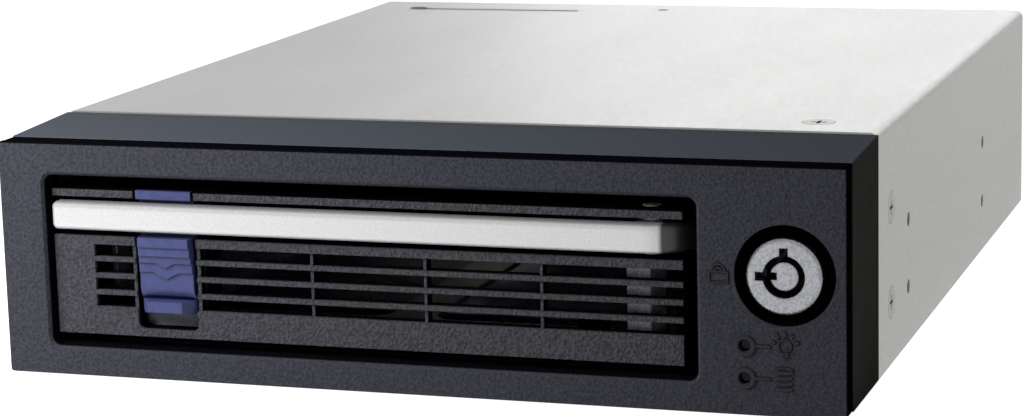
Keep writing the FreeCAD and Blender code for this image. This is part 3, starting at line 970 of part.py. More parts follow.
def latch():
    """Push-down latch: lapped pad with two arrows, ledge for the thumb, plate behind the handle."""
    x0, x1 = LATCH_X - LATCH_W / 2, LATCH_X + LATCH_W / 2
    z0, back_d, face_d = LATCH_Z0, LATCH_BACK_D, LATCH_FACE_D + len(LATCH_LAPS) * LATCH_LAP
    brow_z, ledge_z = z0 + LATCH_BROW, z0 + LEDGE_H
    brow, foot = at(x0, face_d, brow_z), at(x0, LEDGE_BACK_D, ledge_z)
    on_curve = at(x0, face_d + (LEDGE_BACK_D - face_d) * 0.25, ledge_z + (brow_z - ledge_z) * 0.45)
    corners = [foot, at(x0, LEDGE_BACK_D, z0), at(x0, back_d, z0), at(x0, back_d, SLOT_Z0),
               at(x0, face_d, SLOT_Z0), brow]
    outline = [Part.makeLine(a, b) for a, b in zip(corners, corners[1:])]
    outline.append(Part.Arc(brow, on_curve, foot).toShape())
    pad = Part.Face(Part.Wire(outline)).extrude(V(LATCH_W, 0, 0))
    laps = [latch_lap(z0 + rise, dip, half, LATCH_FACE_D + i * LATCH_LAP)
            for i, (rise, dip, half) in enumerate(LATCH_LAPS)]
    low, high = z0 + LATCH_DRAFT, ledge_z - 2 * SEAT
    ledge = Part.makeWedge(x0 + LEDGE_BEVEL, FACE_Y + LEDGE_D, low, z0, x0,
                           x1 - LEDGE_BEVEL, FACE_Y + LEDGE_BACK_D, high, ledge_z, x1)
    pad = fused([pad, ledge] + laps)
    draft_d, draft_z1 = LEDGE_BACK_D - 4 * SEAT, SLOT_Z0 + OVER
    sides = [at(x0 + LATCH_DRAFT, 0, z0), at(x1 - LATCH_DRAFT, 0, z0), at(x1, draft_d, z0),
             at(x1, back_d, z0), at(x0, back_d, z0), at(x0, draft_d, z0)]
    drafted = prism(sides, V(0, 0, draft_z1 - z0))
    rounded_end = rounded(block(x0, x1, 0, back_d, z0, draft_z1), LATCH_CORNER_R, AXIS_Y,
                          lambda p: p.z < z0 + LATCH_CORNER_R)
    pad = pad.common(drafted).common(rounded_end)

    plate = block(x0, x1, LATCH_PLATE_D, back_d, SLOT_Z0 - LATCH_PLATE_T, LATCH_Z1)
    wing_x0, wing_x1 = CHANNEL_X0 - LATCH_WING + SEAT, CHANNEL_X1 + LATCH_WING - SEAT
    wing_d = WALL_BACK_D - LATCH_WING_T / 3
    wings = block(wing_x0, wing_x1, wing_d, wing_d + LATCH_WING_T, z0 + LATCH_DRAFT,
                  z0 + LATCH_LAPS[0][0])
    lug_half = LATCH_LUG_W / 2
    lug = block(LATCH_X - lug_half, LATCH_X + lug_half, back_d - LATCH_PLATE_T / 2,
                SPRING_D + SPRING_COIL_R + 4 * SEAT, LATCH_LUG_Z, LATCH_LUG_Z + LATCH_LUG_H)
    eye_z1 = LATCH_Z1 - LATCH_EYE_TOP
    eye = block(LATCH_X - LATCH_EYE_W / 2, LATCH_X + LATCH_EYE_W / 2, 0, back_d + OVER,
                eye_z1 - LATCH_EYE_H, eye_z1)
    return fused([pad, plate, wings, lug]).cut(eye)


# ---------------------------------------------------------------- one file per piece
def pieces():
    """Name and shape of every piece, in the order that the cage is put together."""
    left_rail, right_rail = rail_sides()
    return {
        "shell_cover": shell_cover(),
        "bottom_plate": bottom_plate(),
        "rear_panel": rear_panel(),
        "front_collar": front_collar(),
        "faceplate": faceplate(),
        "collar_screws": collar_screws(),
        "guide_rail_left": guide_rail(*left_rail),
        "guide_rail_right": guide_rail(*right_rail),
        "rail_screws": rail_screws(),
        "lock_barrel": lock_barrel(),
        "lock_nut": lock_nut(),
        "led_board": led_board(),
        "led_lamps": led_lamps(),
        "light_pipes": light_pipes(),
        "led_board_screw": led_board_screw(),
        "backplane_board": backplane_board(),
        "board_standoffs": board_standoffs(),
        "board_screws": board_screws(),
        "drive_receptacle": drive_receptacle(),
        "data_socket": data_socket(),
        "power_header": power_header(),
        "power_pins": power_pins(),
        "fan_frame": fan_frame(),
        "fan_screws": fan_screws(),
        "carrier_front": carrier_front(),
        "drive_tray": drive_tray(),
        "tray_runners": tray_runners(),
        "tray_screws": tray_screws(),
        "hinge_block": hinge_block(),
        "hinge_pin": hinge_pin(),
        "latch_cap": latch_cap(),
        "latch_spring": latch_spring(),
        "handle": handle(),
        "latch": latch(),
        "lock_core": lock_core(),
        "lock_cam": lock_cam(),
        "cam_screw": cam_screw(),
        "fan_rotor": fan_rotor(),
    }


os.makedirs("parts", exist_ok=True)
for name, shape in pieces().items():
    solids = shape if isinstance(shape, list) else shape.Solids
    whole = solids[0] if len(solids) == 1 else Part.makeCompound(solids)
    whole.exportStep(os.path.join("parts", name + ".step"))
    box = whole.BoundBox
    print(f"{name:18s} solids {len(solids)}  {box.XMin:7.2f} {box.XMax:7.2f}  "
          f"{box.YMin:7.2f} {box.YMax:7.2f}  {box.ZMin:6.2f} {box.ZMax:6.2f}")
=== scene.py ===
"""Removable-drive cage: studio, finishes, raised marks and the small parts on its boards."""
import math

import bmesh
import bpy
import numpy as np
from mathutils import Matrix, Vector


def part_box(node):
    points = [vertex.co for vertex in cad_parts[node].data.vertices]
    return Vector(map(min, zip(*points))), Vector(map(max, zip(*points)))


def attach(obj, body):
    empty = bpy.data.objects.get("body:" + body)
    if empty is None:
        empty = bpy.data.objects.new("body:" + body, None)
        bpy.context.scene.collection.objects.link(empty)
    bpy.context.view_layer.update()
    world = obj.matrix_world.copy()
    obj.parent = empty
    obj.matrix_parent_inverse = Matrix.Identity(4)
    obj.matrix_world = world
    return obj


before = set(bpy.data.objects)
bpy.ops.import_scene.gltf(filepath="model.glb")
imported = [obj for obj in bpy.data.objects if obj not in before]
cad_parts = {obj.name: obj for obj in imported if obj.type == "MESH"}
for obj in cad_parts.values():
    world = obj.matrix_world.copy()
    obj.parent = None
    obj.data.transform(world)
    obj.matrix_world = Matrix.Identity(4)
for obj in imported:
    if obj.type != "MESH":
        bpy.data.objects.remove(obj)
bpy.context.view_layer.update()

# ------------------------------------------------------------------ camera
# A long lens off the front right corner and above the top, turned left, tipped down and
# rolled a little.  Places are in metres from the middle of the underside of the cage.
LENS, SENSOR = 99.9, 36.0
CAMERA_PLACE = (0.1613, -0.5154, 0.1189)
CAMERA_TURN, CAMERA_TIP, CAMERA_ROLL = (math.radians(angle) for angle in (18.61, 11.02, -1.5))
camera_data = bpy.data.cameras.new("camera")
camera_data.lens, camera_data.sensor_width = LENS, SENSOR
camera_data.clip_start, camera_data.clip_end = 0.01, 20.0
camera = bpy.data.objects.new("camera", camera_data)
bpy.context.scene.collection.objects.link(camera)
camera.matrix_world = (Matrix.Translation(Vector(CAMERA_PLACE))
                       @ Matrix.Rotation(CAMERA_TURN, 4, "Z")
                       @ Matrix.Rotation(math.pi / 2 - CAMERA_TIP, 4, "X")
                       @ Matrix.Rotation(CAMERA_ROLL, 4, "Z"))
bpy.context.scene.camera = camera
bpy.context.scene.view_settings.view_transform = "Standard"

# ------------------------------------------------------------------ studio
# White surround for the eye, mirrors and glass, dimmer for the light that it gives.  One soft
# lamp stands close to the left front corner, with no mirror image, and one hangs behind the
# cage.  The floor is white paper that is clear from below, so that the underside can be seen.
WORLD_GLOW = 0.11
world = bpy.data.worlds.new("studio")
bpy.context.scene.world = world
world.use_nodes = True
world_tree = world.node_tree
surround = world_tree.nodes["Background"]
surround.inputs["Color"].default_value = (1.0, 1.0, 1.0, 1.0)


def seen_white(tree, dim, bright, socket):
    """Sets a strength to bright for what is seen directly, in gloss or through glass, and to dim for
    the light that falls on things."""
    ray = tree.nodes.new("ShaderNodeLightPath")
    direct = tree.nodes.new("ShaderNodeMath")
    through = tree.nodes.new("ShaderNodeMath")
    direct.operation = through.operation = "MAXIMUM"
    strength = tree.nodes.new("ShaderNodeMapRange")
    strength.inputs["To Min"].default_value = dim
    strength.inputs["To Max"].default_value = bright
    tree.links.new(ray.outputs["Is Camera Ray"], direct.inputs[0])
    tree.links.new(ray.outputs["Is Glossy Ray"], direct.inputs[1])
    tree.links.new(direct.outputs[0], through.inputs[0])
    tree.links.new(ray.outputs["Is Transmission Ray"], through.inputs[1])
    tree.links.new(through.outputs[0], strength.inputs["Value"])
    tree.links.new(strength.outputs["Result"], socket)


seen_white(world_tree, WORLD_GLOW, 1.0, surround.inputs["Strength"])


def soft_lamp(name, place, aim, size, power, mirrored):
    """Square area lamp at a place, facing a point, not seen itself, and mirrored in gloss or not."""
    data = bpy.data.lights.new(name, "AREA")
    data.shape, data.size, data.energy = "SQUARE", size, power
    lamp = bpy.data.objects.new(name, data)
    bpy.context.scene.collection.objects.link(lamp)
    lamp.location = place
    lamp.rotation_euler = (Vector(aim) - Vector(place)).to_track_quat("-Z", "Y").to_euler()
    lamp.visible_camera, lamp.visible_glossy = False, mirrored


LEFT_LAMP, LEFT_AIM, LEFT_SIZE, LEFT_POWER = (-0.17, -0.225, 0.155), (-0.06, -0.09, 0.02), 0.13, 0.75
BACK_LAMP, BACK_AIM, BACK_SIZE, BACK_POWER = (-0.03, 0.95, 0.27), (0.05, 0.05, 0.04), 0.6, 1.5
soft_lamp("left_front_lamp", LEFT_LAMP, LEFT_AIM, LEFT_SIZE, LEFT_POWER, False)
soft_lamp("top_back_lamp", BACK_LAMP, BACK_AIM, BACK_SIZE, BACK_POWER, True)

FLOOR_HALF, FLOOR_Z, FLOOR_WHITE = 3.0, -0.0002, 0.93
floor_mesh = bpy.data.meshes.new("floor")
floor_mesh.from_pydata([(-FLOOR_HALF, -FLOOR_HALF, FLOOR_Z), (FLOOR_HALF, -FLOOR_HALF, FLOOR_Z),
                        (FLOOR_HALF, FLOOR_HALF, FLOOR_Z), (-FLOOR_HALF, FLOOR_HALF, FLOOR_Z)],
                       [], [(0, 1, 2, 3)])
floor = bpy.data.objects.new("floor", floor_mesh)
bpy.context.scene.collection.objects.link(floor)
floor_paper = bpy.data.materials.new("floor_paper")
floor_paper.use_nodes = True
paper = floor_paper.node_tree.nodes["Principled BSDF"]
paper.inputs["Base Color"].default_value = (FLOOR_WHITE, FLOOR_WHITE, FLOOR_WHITE, 1.0)
paper.inputs["Roughness"].default_value = 0.9
paper.inputs["Specular IOR Level"].default_value = 0.1
paper.inputs["Emission Color"].default_value = (1.0, 1.0, 1.0, 1.0)
floor_tree = floor_paper.node_tree
seen_white(floor_tree, 0.0, FLOOR_WHITE, paper.inputs["Emission Strength"])
underside = floor_tree.nodes.new("ShaderNodeNewGeometry")
clear = floor_tree.nodes.new("ShaderNodeBsdfTransparent")
one_way = floor_tree.nodes.new("ShaderNodeMixShader")
floor_tree.links.new(underside.outputs["Backfacing"], one_way.inputs["Fac"])
floor_tree.links.new(paper.outputs["BSDF"], one_way.inputs[1])
floor_tree.links.new(clear.outputs["BSDF"], one_way.inputs[2])
floor_tree.links.new(one_way.outputs["Shader"],
                     floor_tree.nodes["Material Output"].inputs["Surface"])
floor_mesh.materials.append(floor_paper)

# ------------------------------------------------------------------ cover, floor plate and rear panel
# Zinc-coated sheet steel, folded, and screwed to the bezel.  The skin is slightly cloudy, with a
# fine grain rolled along the depth of the cage.  Its folded sides are painted darker as painted
# shade, its bare cut front edge is painted lighter as a painted highlight, and painted shade
# darkens it softly along the slit near the rear and round the hole at the slit's end.


def finish(name, colour, roughness, metallic=0.0, specular=0.5):
    """New material; returns it with its node tree and its shader."""
    made = bpy.data.materials.new(name)
    made.use_nodes = True
    shader = made.node_tree.nodes["Principled BSDF"]
    shader.inputs["Base Color"].default_value = (*colour, 1.0)
    shader.inputs["Roughness"].default_value = roughness
    shader.inputs["Metallic"].default_value = metallic
    shader.inputs["Specular IOR Level"].default_value = specular
    return made, made.node_tree, shader


def grain(tree, scale, stretch=(1, 1, 1), detail=2.0):
    """Noise in grains per metre of the object's own space, drawn out where stretch is small."""
    where = tree.nodes.new("ShaderNodeTexCoord")
    mapping = tree.nodes.new("ShaderNodeMapping")
    mapping.inputs["Scale"].default_value = stretch
    noise = tree.nodes.new("ShaderNodeTexNoise")
    noise.inputs["Scale"].default_value = scale
    noise.inputs["Detail"].default_value = detail
    tree.links.new(where.outputs["Object"], mapping.inputs["Vector"])
    tree.links.new(mapping.outputs["Vector"], noise.inputs["Vector"])
    return noise.outputs["Fac"]


def ramp(tree, factor, low, high, spread=0.2):
    """Colour that runs from low to high while the factor crosses one half, over twice the spread."""
    made = tree.nodes.new("ShaderNodeValToRGB")
    first, last = made.color_ramp.elements
    first.position, last.position = 0.5 - spread, 0.5 + spread
    first.color, last.color = (*low, 1.0), (*high, 1.0)
    tree.links.new(factor, made.inputs["Fac"])
    return made.outputs["Color"]


def rescale(tree, factor, low, high, start=0.0, end=1.0):
    """Straight-line change of a factor from start..end to low..high, held at both ends."""
    made = tree.nodes.new("ShaderNodeMapRange")
    for socket, value in (("From Min", start), ("From Max", end), ("To Min", low), ("To Max", high)):
        made.inputs[socket].default_value = value
    tree.links.new(factor, made.inputs["Value"])
    return made.outputs["Result"]


def beyond(tree, axis, place, width=0.0002, slope=0.0):
    """Nought on one side of a place along an axis of the object's own space and one past it; a
    slope tilts the border, which then lies that much further on for each metre of depth."""
    where = tree.nodes.new("ShaderNodeTexCoord")
    split = tree.nodes.new("ShaderNodeSeparateXYZ")
    level = tree.nodes.new("ShaderNodeMath")
    level.operation = "MULTIPLY_ADD"
    level.inputs[1].default_value = -slope
    tree.links.new(where.outputs["Object"], split.inputs["Vector"])
    tree.links.new(split.outputs["Y"], level.inputs[0])
    tree.links.new(split.outputs[axis], level.inputs[2])
    return rescale(tree, level.outputs[0], 0.0, 1.0, place, place + width)


def blend(tree, factor, first, second):
    """Colour that goes from a socket's colour to a fixed one while the factor goes from 0 to 1."""
    mix = tree.nodes.new("ShaderNodeMix")
    mix.data_type = "RGBA"
    mix.inputs["B"].default_value = (*second, 1.0)
    tree.links.new(factor, mix.inputs["Factor"])
    tree.links.new(first, mix.inputs["A"])
    return mix.outputs["Result"]


def inside(tree, *borders):
    """One where every border (axis, place, width) is passed and nought elsewhere."""
    whole = beyond(tree, *borders[0])
    for border in borders[1:]:
        both = tree.nodes.new("ShaderNodeMath")
        both.operation = "MULTIPLY"
        tree.links.new(whole, both.inputs[0])
        tree.links.new(beyond(tree, *border), both.inputs[1])
        whole = both.outputs[0]
    return whole


def paint(tree, shader, colour):
    """Wires a colour to the shader."""
    tree.links.new(colour, shader.inputs["Base Color"])


def roughen(tree, shader, factor, low, high):
    """Roughness that goes from low to high while a factor goes from nought to one."""
    tree.links.new(rescale(tree, factor, low, high), shader.inputs["Roughness"])


def relief(tree, shader, factor, depth, strength=1.0, edge=0.0):
    """Bump of a depth in metres, over edges that are softened by a radius in metres."""
    bump = tree.nodes.new("ShaderNodeBump")
    bump.inputs["Distance"].default_value = depth
    bump.inputs["Strength"].default_value = strength
    tree.links.new(factor, bump.inputs["Height"])
    if edge:
        soft = tree.nodes.new("ShaderNodeBevel")
        soft.samples = 4
        soft.inputs["Radius"].default_value = edge
        tree.links.new(soft.outputs["Normal"], bump.inputs["Normal"])
    tree.links.new(bump.outputs["Normal"], shader.inputs["Normal"])


def dress(material, *nodes):
    """Gives pieces that come from the solid model a finish."""
    for node in nodes:
        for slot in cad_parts[node].material_slots:
            slot.material = material


ALONG_DEPTH = (1.0, 0.1, 1.0)
ZINC_DARK, ZINC_LIGHT = (0.41, 0.412, 0.405), (0.45, 0.452, 0.445)
SIDE_PAINTED_SHADE, SIDE_SKIN = (0.345, 0.347, 0.335), 0.0004
CUT_EDGE_HIGHLIGHT, CUT_SKIN = (0.50, 0.50, 0.50), 0.0003
SLIT_X0, SLIT_X1, SLIT_INSET, SLIT_SHADE_FADE = -0.0625, -0.0215, 0.012, 0.002
SLIT_PAINTED_SHADES = ((SLIT_X0, SLIT_X1, 0.0032, (0.25, 0.25, 0.25)),
          (SLIT_X0 - 0.0005, SLIT_X0 + 0.0055, 0.004, (0.10, 0.10, 0.10)))
cover_low, cover_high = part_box("shell_cover")
slit_y = cover_high.y - SLIT_INSET
cover_steel, tree, shader = finish("cover_steel", ZINC_LIGHT, roughness=0.45, metallic=0.85)
cloud = grain(tree, 45.0, stretch=(1.0, 0.3, 1.0), detail=4.0)
zinc = ramp(tree, cloud, ZINC_DARK, ZINC_LIGHT)
# Painted shade: the cover is painted softly darker along the slit and round the hole at its end.
for x0, x1, reach, slit_shade_colour in SLIT_PAINTED_SHADES:
    slit_shade = inside(tree, ("X", x0, SLIT_SHADE_FADE), ("X", x1, -SLIT_SHADE_FADE),
                   ("Y", slit_y - reach, reach), ("Y", slit_y + reach, -reach))
    zinc = blend(tree, slit_shade, zinc, slit_shade_colour)
# Painted shade: both folded sides are painted a darker zinc.
for side, edge_x in ((1, cover_high.x), (-1, cover_low.x)):
    shaded_side = beyond(tree, "X", edge_x - side * SIDE_SKIN, side * SIDE_SKIN / 2)
    zinc = blend(tree, shaded_side, zinc, SIDE_PAINTED_SHADE)
# Painted highlight: the bare cut front edge is painted lighter.
zinc = blend(tree, beyond(tree, "Y", cover_low.y + CUT_SKIN, -CUT_SKIN / 2), zinc, CUT_EDGE_HIGHLIGHT)
paint(tree, shader, zinc)
rolled = grain(tree, 2600.0, ALONG_DEPTH)
roughen(tree, shader, rolled, 0.36, 0.52)
relief(tree, shader, rolled, depth=0.000004, edge=0.0003)
dress(cover_steel, "shell_cover", "bottom_plate", "rear_panel")

# ------------------------------------------------------------------ collar
# Deep moulded bezel behind the faceplate, in dark plastic with a smooth satin skin.  The top,
# which slopes up from the faceplate to the cover, is painted blue-grey as painted light, and the
# sides keep the near-black plastic.
SKIN_DARK, SKIN_LIGHT = (0.084, 0.086, 0.074), (0.096, 0.098, 0.086)
TOP_PAINTED_LIGHT, TOP_SKIN = (0.100, 0.112, 0.135), 0.0004
face_low, face_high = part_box("faceplate")
rise_per_depth = (cover_high.z - face_high.z) / (cover_low.y - face_high.y)
top_place = face_high.z - rise_per_depth * face_high.y - TOP_SKIN
collar_plastic, tree, shader = finish("collar_plastic", SKIN_LIGHT, roughness=0.5, specular=0.0)
black_skin = ramp(tree, grain(tree, 150.0, detail=3.0), SKIN_DARK, SKIN_LIGHT)
# Painted light: the sloping top is painted lighter blue-grey than the plastic.
lit_sloping_top = beyond(tree, "Z", top_place, TOP_SKIN / 4, rise_per_depth)
paint(tree, shader, blend(tree, lit_sloping_top, black_skin, TOP_PAINTED_LIGHT))
skin = grain(tree, 3200.0, detail=1.0)
roughen(tree, shader, skin, 0.42, 0.55)
relief(tree, shader, skin, depth=0.000006, edge=0.0003)
dress(collar_plastic, "front_collar")

# ------------------------------------------------------------------ faceplate
# Moulded front frame in charcoal plastic.  Its face has a fine eroded texture; the edges, the
# walls of the openings and the lock's recess were left smooth, and are painted black as painted shade.
RIM_RISE, FACE_SKIN, FACE_EDGE, FACE_PITS = 0.00025, 0.00035, 0.0003, 0.00028
FACE_DARK, FACE_LIGHT = (0.038, 0.039, 0.048), (0.064, 0.066, 0.081)
# Near black that stands in for shade, painted where surfaces lie in shadow.
PAINTED_SHADE_BLACK = (0.004, 0.004, 0.006)
face_y = face_low.y + RIM_RISE


def eroded_plastic(name, dark, light, front_y, skin, edge_z, depth):
    """Charcoal plastic with pits of a depth, speckled from dark to light, and painted black as painted
    shade where it lies a skin behind the front or above the edge.  Returns the material, its node tree,
    the socket of its colour and its shader."""
    made, tree, shader = finish(name, light, roughness=0.5, specular=0.0)
    spark = grain(tree, 2000.0, detail=3.0)
    # Painted shade: black behind the front skin and above the top edge.
    speckle_and_shade = blend(tree, beyond(tree, "Y", front_y + skin), ramp(tree, spark, dark, light, 0.17), PAINTED_SHADE_BLACK)
    speckle_and_shade = blend(tree, beyond(tree, "Z", edge_z, 0.0001), speckle_and_shade, PAINTED_SHADE_BLACK)
    paint(tree, shader, speckle_and_shade)
    roughen(tree, shader, spark, 0.42, 0.66)
    relief(tree, shader, spark, depth, strength=0.8, edge=0.00018)
    return made, tree, speckle_and_shade, shader


face_plastic = eroded_plastic("face_plastic", FACE_DARK, FACE_LIGHT, face_y, FACE_SKIN,
                              face_high.z - FACE_EDGE, FACE_PITS)[0]
dress(face_plastic, "faceplate")

# ------------------------------------------------------------------ marks on the faceplate
# Padlock, lamp bulb and stack of disks, and the two stems that lead from the indicators.  They
# were moulded with the face, as low half-round lines.  Sizes here are in millimetres.
MM = 0.001


def ring_points(x, z, radius_x, radius_z, start, end, count):
    """Points on an ellipse: centre plus the two radii times cosine and sine of an even run of angles."""
    turn = np.radians(np.linspace(start, end, count))
    return np.stack([x + radius_x * np.cos(turn), z + radius_z * np.sin(turn)], axis=1)


def along(*corners, step=0.12):
    """Points along straight runs between corners, about one step apart."""
    corners = np.asarray(corners, dtype=float)
    runs = np.linalg.norm(np.diff(corners, axis=0), axis=1)
    distance = np.concatenate([[0.0], np.cumsum(runs)])
    places = np.linspace(0.0, distance[-1], max(3, int(distance[-1] / step) + 1))
    return np.stack([np.interp(places, distance, corners[:, i]) for i in range(2)], axis=1)


def ring_quads(rings, sides):
    """Faces between neighbouring rings of points: a point, the next one round its ring, and the same
    two on the next ring."""
    row, column = np.meshgrid(np.arange(rings - 1), np.arange(sides), indexing="ij")
    first, beside = row * sides + column, row * sides + (column + 1) % sides
    return np.stack([first, beside, beside + sides, first + sides], axis=2).reshape(-1, 4).tolist()


def raised_line(points, half_w, rise, front_y, sides=8):
    """Half-round line: at each point of the path the section is the path's normal times half_w cos t,
    and the rise times sin t ahead of the face, for t from 0 to 180 degrees.  It is sunk in the face
    by a share of its rise, and thins to almost nothing at an open end."""
    thin_end, sunk = 0.05, 0.3 * rise
    closed = np.linalg.norm(points[0] - points[-1]) < 1e-6
    if closed:
        padded = np.vstack([points[-2], points, points[1]])
    else:
        padded = np.vstack([2 * points[0] - points[1], points, 2 * points[-1] - points[-2]])
    run = padded[2:] - padded[:-2]
    run /= np.linalg.norm(run, axis=1, keepdims=True)
    normal = np.stack([-run[:, 1], run[:, 0]], axis=1)
    turn = np.linspace(0.0, np.pi, sides)
    size = np.ones(len(points))
    if not closed:
        size[0] = size[-1] = thin_end
    x = points[:, :1] + normal[:, :1] * half_w * np.cos(turn) * size[:, None]
    z = points[:, 1:] + normal[:, 1:] * half_w * np.cos(turn) * size[:, None]
    y = np.broadcast_to(-rise * np.sin(turn) + sunk, x.shape) * size[:, None]
    vertices = np.stack([x, y, z], axis=2).reshape(-1, 3) * MM + (0.0, front_y, 0.0)
    last = len(points) * sides
    caps = [] if closed else [list(range(sides)), list(range(last - 1, last - sides - 1, -1))]
    return vertices, ring_quads(len(points), sides) + caps


def add_piece(name, surfaces, material, body):
    """One object at the origin from several surfaces, riding on a body, with its doubles merged and
    its faces turned outwards."""
    vertices, faces, start = [], [], 0
    for surface_vertices, surface_faces in surfaces:
        vertices.append(surface_vertices)
        faces += [[start + i for i in face] for face in surface_faces]
        start += len(surface_vertices)
    mesh = bpy.data.meshes.new(name)
    mesh.from_pydata(np.vstack(vertices), [], faces)
    whole = bmesh.new()
    whole.from_mesh(mesh)
    bmesh.ops.remove_doubles(whole, verts=whole.verts, dist=1e-7)
    bmesh.ops.recalc_face_normals(whole, faces=whole.faces)
    whole.to_mesh(mesh)
    whole.free()
    mesh.polygons.foreach_set("use_smooth", [True] * len(mesh.polygons))
    mesh.materials.append(material)
    piece = bpy.data.objects.new(name, mesh)
    bpy.context.scene.collection.objects.link(piece)
    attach(piece, body)


LINE_W, LINE_RISE = 0.28, 0.4
PADLOCK_X, PADLOCK_Z, PADLOCK_W, PADLOCK_H = 52.6, 21.3, 3.0, 1.7
OUTER_BOW, INNER_BOW = (1.05, 1.25), (0.55, 0.7)
BULB_X, BULB_Z, BULB_R = 63.2, 11.5, 1.05
NECK_W, NECK_DROP, CAP_W, CAP_DROP, CAP_BAND_DROP = 0.45, 0.85, 0.42, 1.75, 1.3
RAY_W, RAY_START, RAY_END, RAY_TURNS = 0.4, BULB_R + 0.42, BULB_R + 1.4, (18, 54, 90, 126, 162)
STACK_X, STACK_Z, STACK_W, STACK_H, STACK_TILT = 63.15, 4.85, 1.35, 2.7, 0.42
DISKS, DISK_W = 4, 0.38
STEM_X0, STEM_X1, STEM_W, STEM_ZS = 58.3, 60.7, 0.36, (11.3, 6.05)
DOT_R, DOT_W = 0.15, 0.2
left, right, top = PADLOCK_X - PADLOCK_W / 2, PADLOCK_X + PADLOCK_W / 2, PADLOCK_Z + PADLOCK_H
neck_z, cap_z, band_z = BULB_Z - NECK_DROP, BULB_Z - CAP_DROP, BULB_Z - CAP_BAND_DROP
lines = [
    along((left, PADLOCK_Z), (right, PADLOCK_Z), (right, top), (left, top), (left, PADLOCK_Z)),
    ring_points(PADLOCK_X, top, *OUTER_BOW, 0, 180, 19),
    ring_points(PADLOCK_X, top, *INNER_BOW, 0, 180, 13),
    ring_points(BULB_X, BULB_Z, BULB_R, BULB_R, -60, 240, 33),
    along((BULB_X - NECK_W, neck_z), (BULB_X - CAP_W, cap_z),
          (BULB_X + CAP_W, cap_z), (BULB_X + NECK_W, neck_z)),
    along((BULB_X - CAP_W, band_z), (BULB_X + CAP_W, band_z)),
    ring_points(STACK_X, STACK_Z + STACK_H, STACK_W, STACK_TILT, 0, 180, 17),
]
surfaces = [raised_line(line, LINE_W, LINE_RISE, face_y) for line in lines]
for disk_z in STACK_Z + STACK_H * np.arange(DISKS) / (DISKS - 1):
    disk = ring_points(STACK_X, disk_z, STACK_W, STACK_TILT, 190, 350, 17)
    surfaces.append(raised_line(disk, DISK_W, LINE_RISE, face_y))
for angle in np.radians(RAY_TURNS):
    ray = [(BULB_X + reach * np.cos(angle), BULB_Z + reach * np.sin(angle))
           for reach in (RAY_START, RAY_END)]
    surfaces.append(raised_line(along(*ray), RAY_W, LINE_RISE, face_y))
for z in STEM_ZS:
    surfaces.append(raised_line(along((STEM_X0, z), (STEM_X1, z)), STEM_W, LINE_RISE, face_y))
    dot = ring_points(STEM_X1, z, DOT_R, DOT_R, 0, 360, 13)
    surfaces.append(raised_line(dot, DOT_W, LINE_RISE, face_y))
mark_plastic, tree, shader = finish("mark_plastic", (0.008, 0.008, 0.012), roughness=0.28, specular=0.24)
roughen(tree, shader, grain(tree, 3000.0), 0.22, 0.36)
add_piece("face_marks", surfaces, mark_plastic, "cage")

# Rolled rims round the two indicator holes, moulded on the low bosses of the face.
PIPE_R, RIM_R, RIM_W, RIM_H, RIM_SINK = 0.95, 1.4, 0.36, 0.25, 0.00002
pipe_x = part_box("light_pipes")[0].x / MM + PIPE_R
surfaces = [raised_line(ring_points(pipe_x, z, RIM_R, RIM_R, 0, 360, 49), RIM_W, RIM_H,
                        face_low.y + RIM_SINK, 12) for z in STEM_ZS]
add_piece("indicator_rims", surfaces, mark_plastic, "cage")

# ------------------------------------------------------------------ lock
# Tubular key lock in satin nickel: fixed barrel, turning core, and a hexagonal nut behind.  Only
# the front of the barrel and post is brushed bright; the keyway behind it is painted near black as
# painted shade.
NICKEL_DARK, NICKEL_LIGHT = (0.19, 0.193, 0.206), (0.33, 0.335, 0.358)
KEYWAY_SKIN, KEYWAY_SHADE_FADE, KEYWAY_PAINTED_SHADE = 0.0014, 0.0008, (0.02, 0.02, 0.018)
keyway_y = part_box("lock_barrel")[0].y + KEYWAY_SKIN
lock_nickel, tree, shader = finish("lock_nickel", NICKEL_LIGHT, roughness=0.3, metallic=1.0)
scuff = grain(tree, 2300.0, detail=5.0)
brushed = ramp(tree, scuff, NICKEL_DARK, NICKEL_LIGHT, 0.2)
# Painted shade: everything behind the barrel's front is painted near black.
paint(tree, shader, blend(tree, beyond(tree, "Y", keyway_y, KEYWAY_SHADE_FADE), brushed, KEYWAY_PAINTED_SHADE))
roughen(tree, shader, scuff, 0.18, 0.4)
relief(tree, shader, scuff, depth=0.00002, strength=0.6, edge=0.00045)
dress(lock_nickel, "lock_barrel", "lock_core")
nut_nickel, tree, shader = finish("nut_nickel", (0.72, 0.72, 0.73), roughness=0.3, metallic=1.0)
roughen(tree, shader, grain(tree, 1500.0), 0.22, 0.42)
dress(nut_nickel, "lock_nut")

# ------------------------------------------------------------------ indicator lamps and light pipes
# Two smoky moulded pipes lead light to the face from two milky lamps, which are soldered to a
# small green board that one screw holds behind the bezel.


def plain_plastic(name, dark, light, low=0.4, high=0.55, specular=0.4):
    """Satin plastic with a faint moulded grain that runs from dark to light and from the low to the
    high roughness."""
    made, tree, shader = finish(name, light, roughness=low, specular=specular)
    moulded = grain(tree, 1400.0)
    paint(tree, shader, ramp(tree, moulded, dark, light))
    roughen(tree, shader, moulded, low, high)
    relief(tree, shader, moulded, depth=0.00001, strength=0.5, edge=0.0002)
    return made


dress(plain_plastic("lamp_lens", dark=(0.72, 0.72, 0.62), light=(0.84, 0.84, 0.74), low=0.2, high=0.35),
      "led_lamps")
dress(plain_plastic("clear_plastic", dark=(0.004, 0.004, 0.005), light=(0.008, 0.008, 0.009), low=0.2,
                    high=0.35, specular=0.1), "light_pipes")

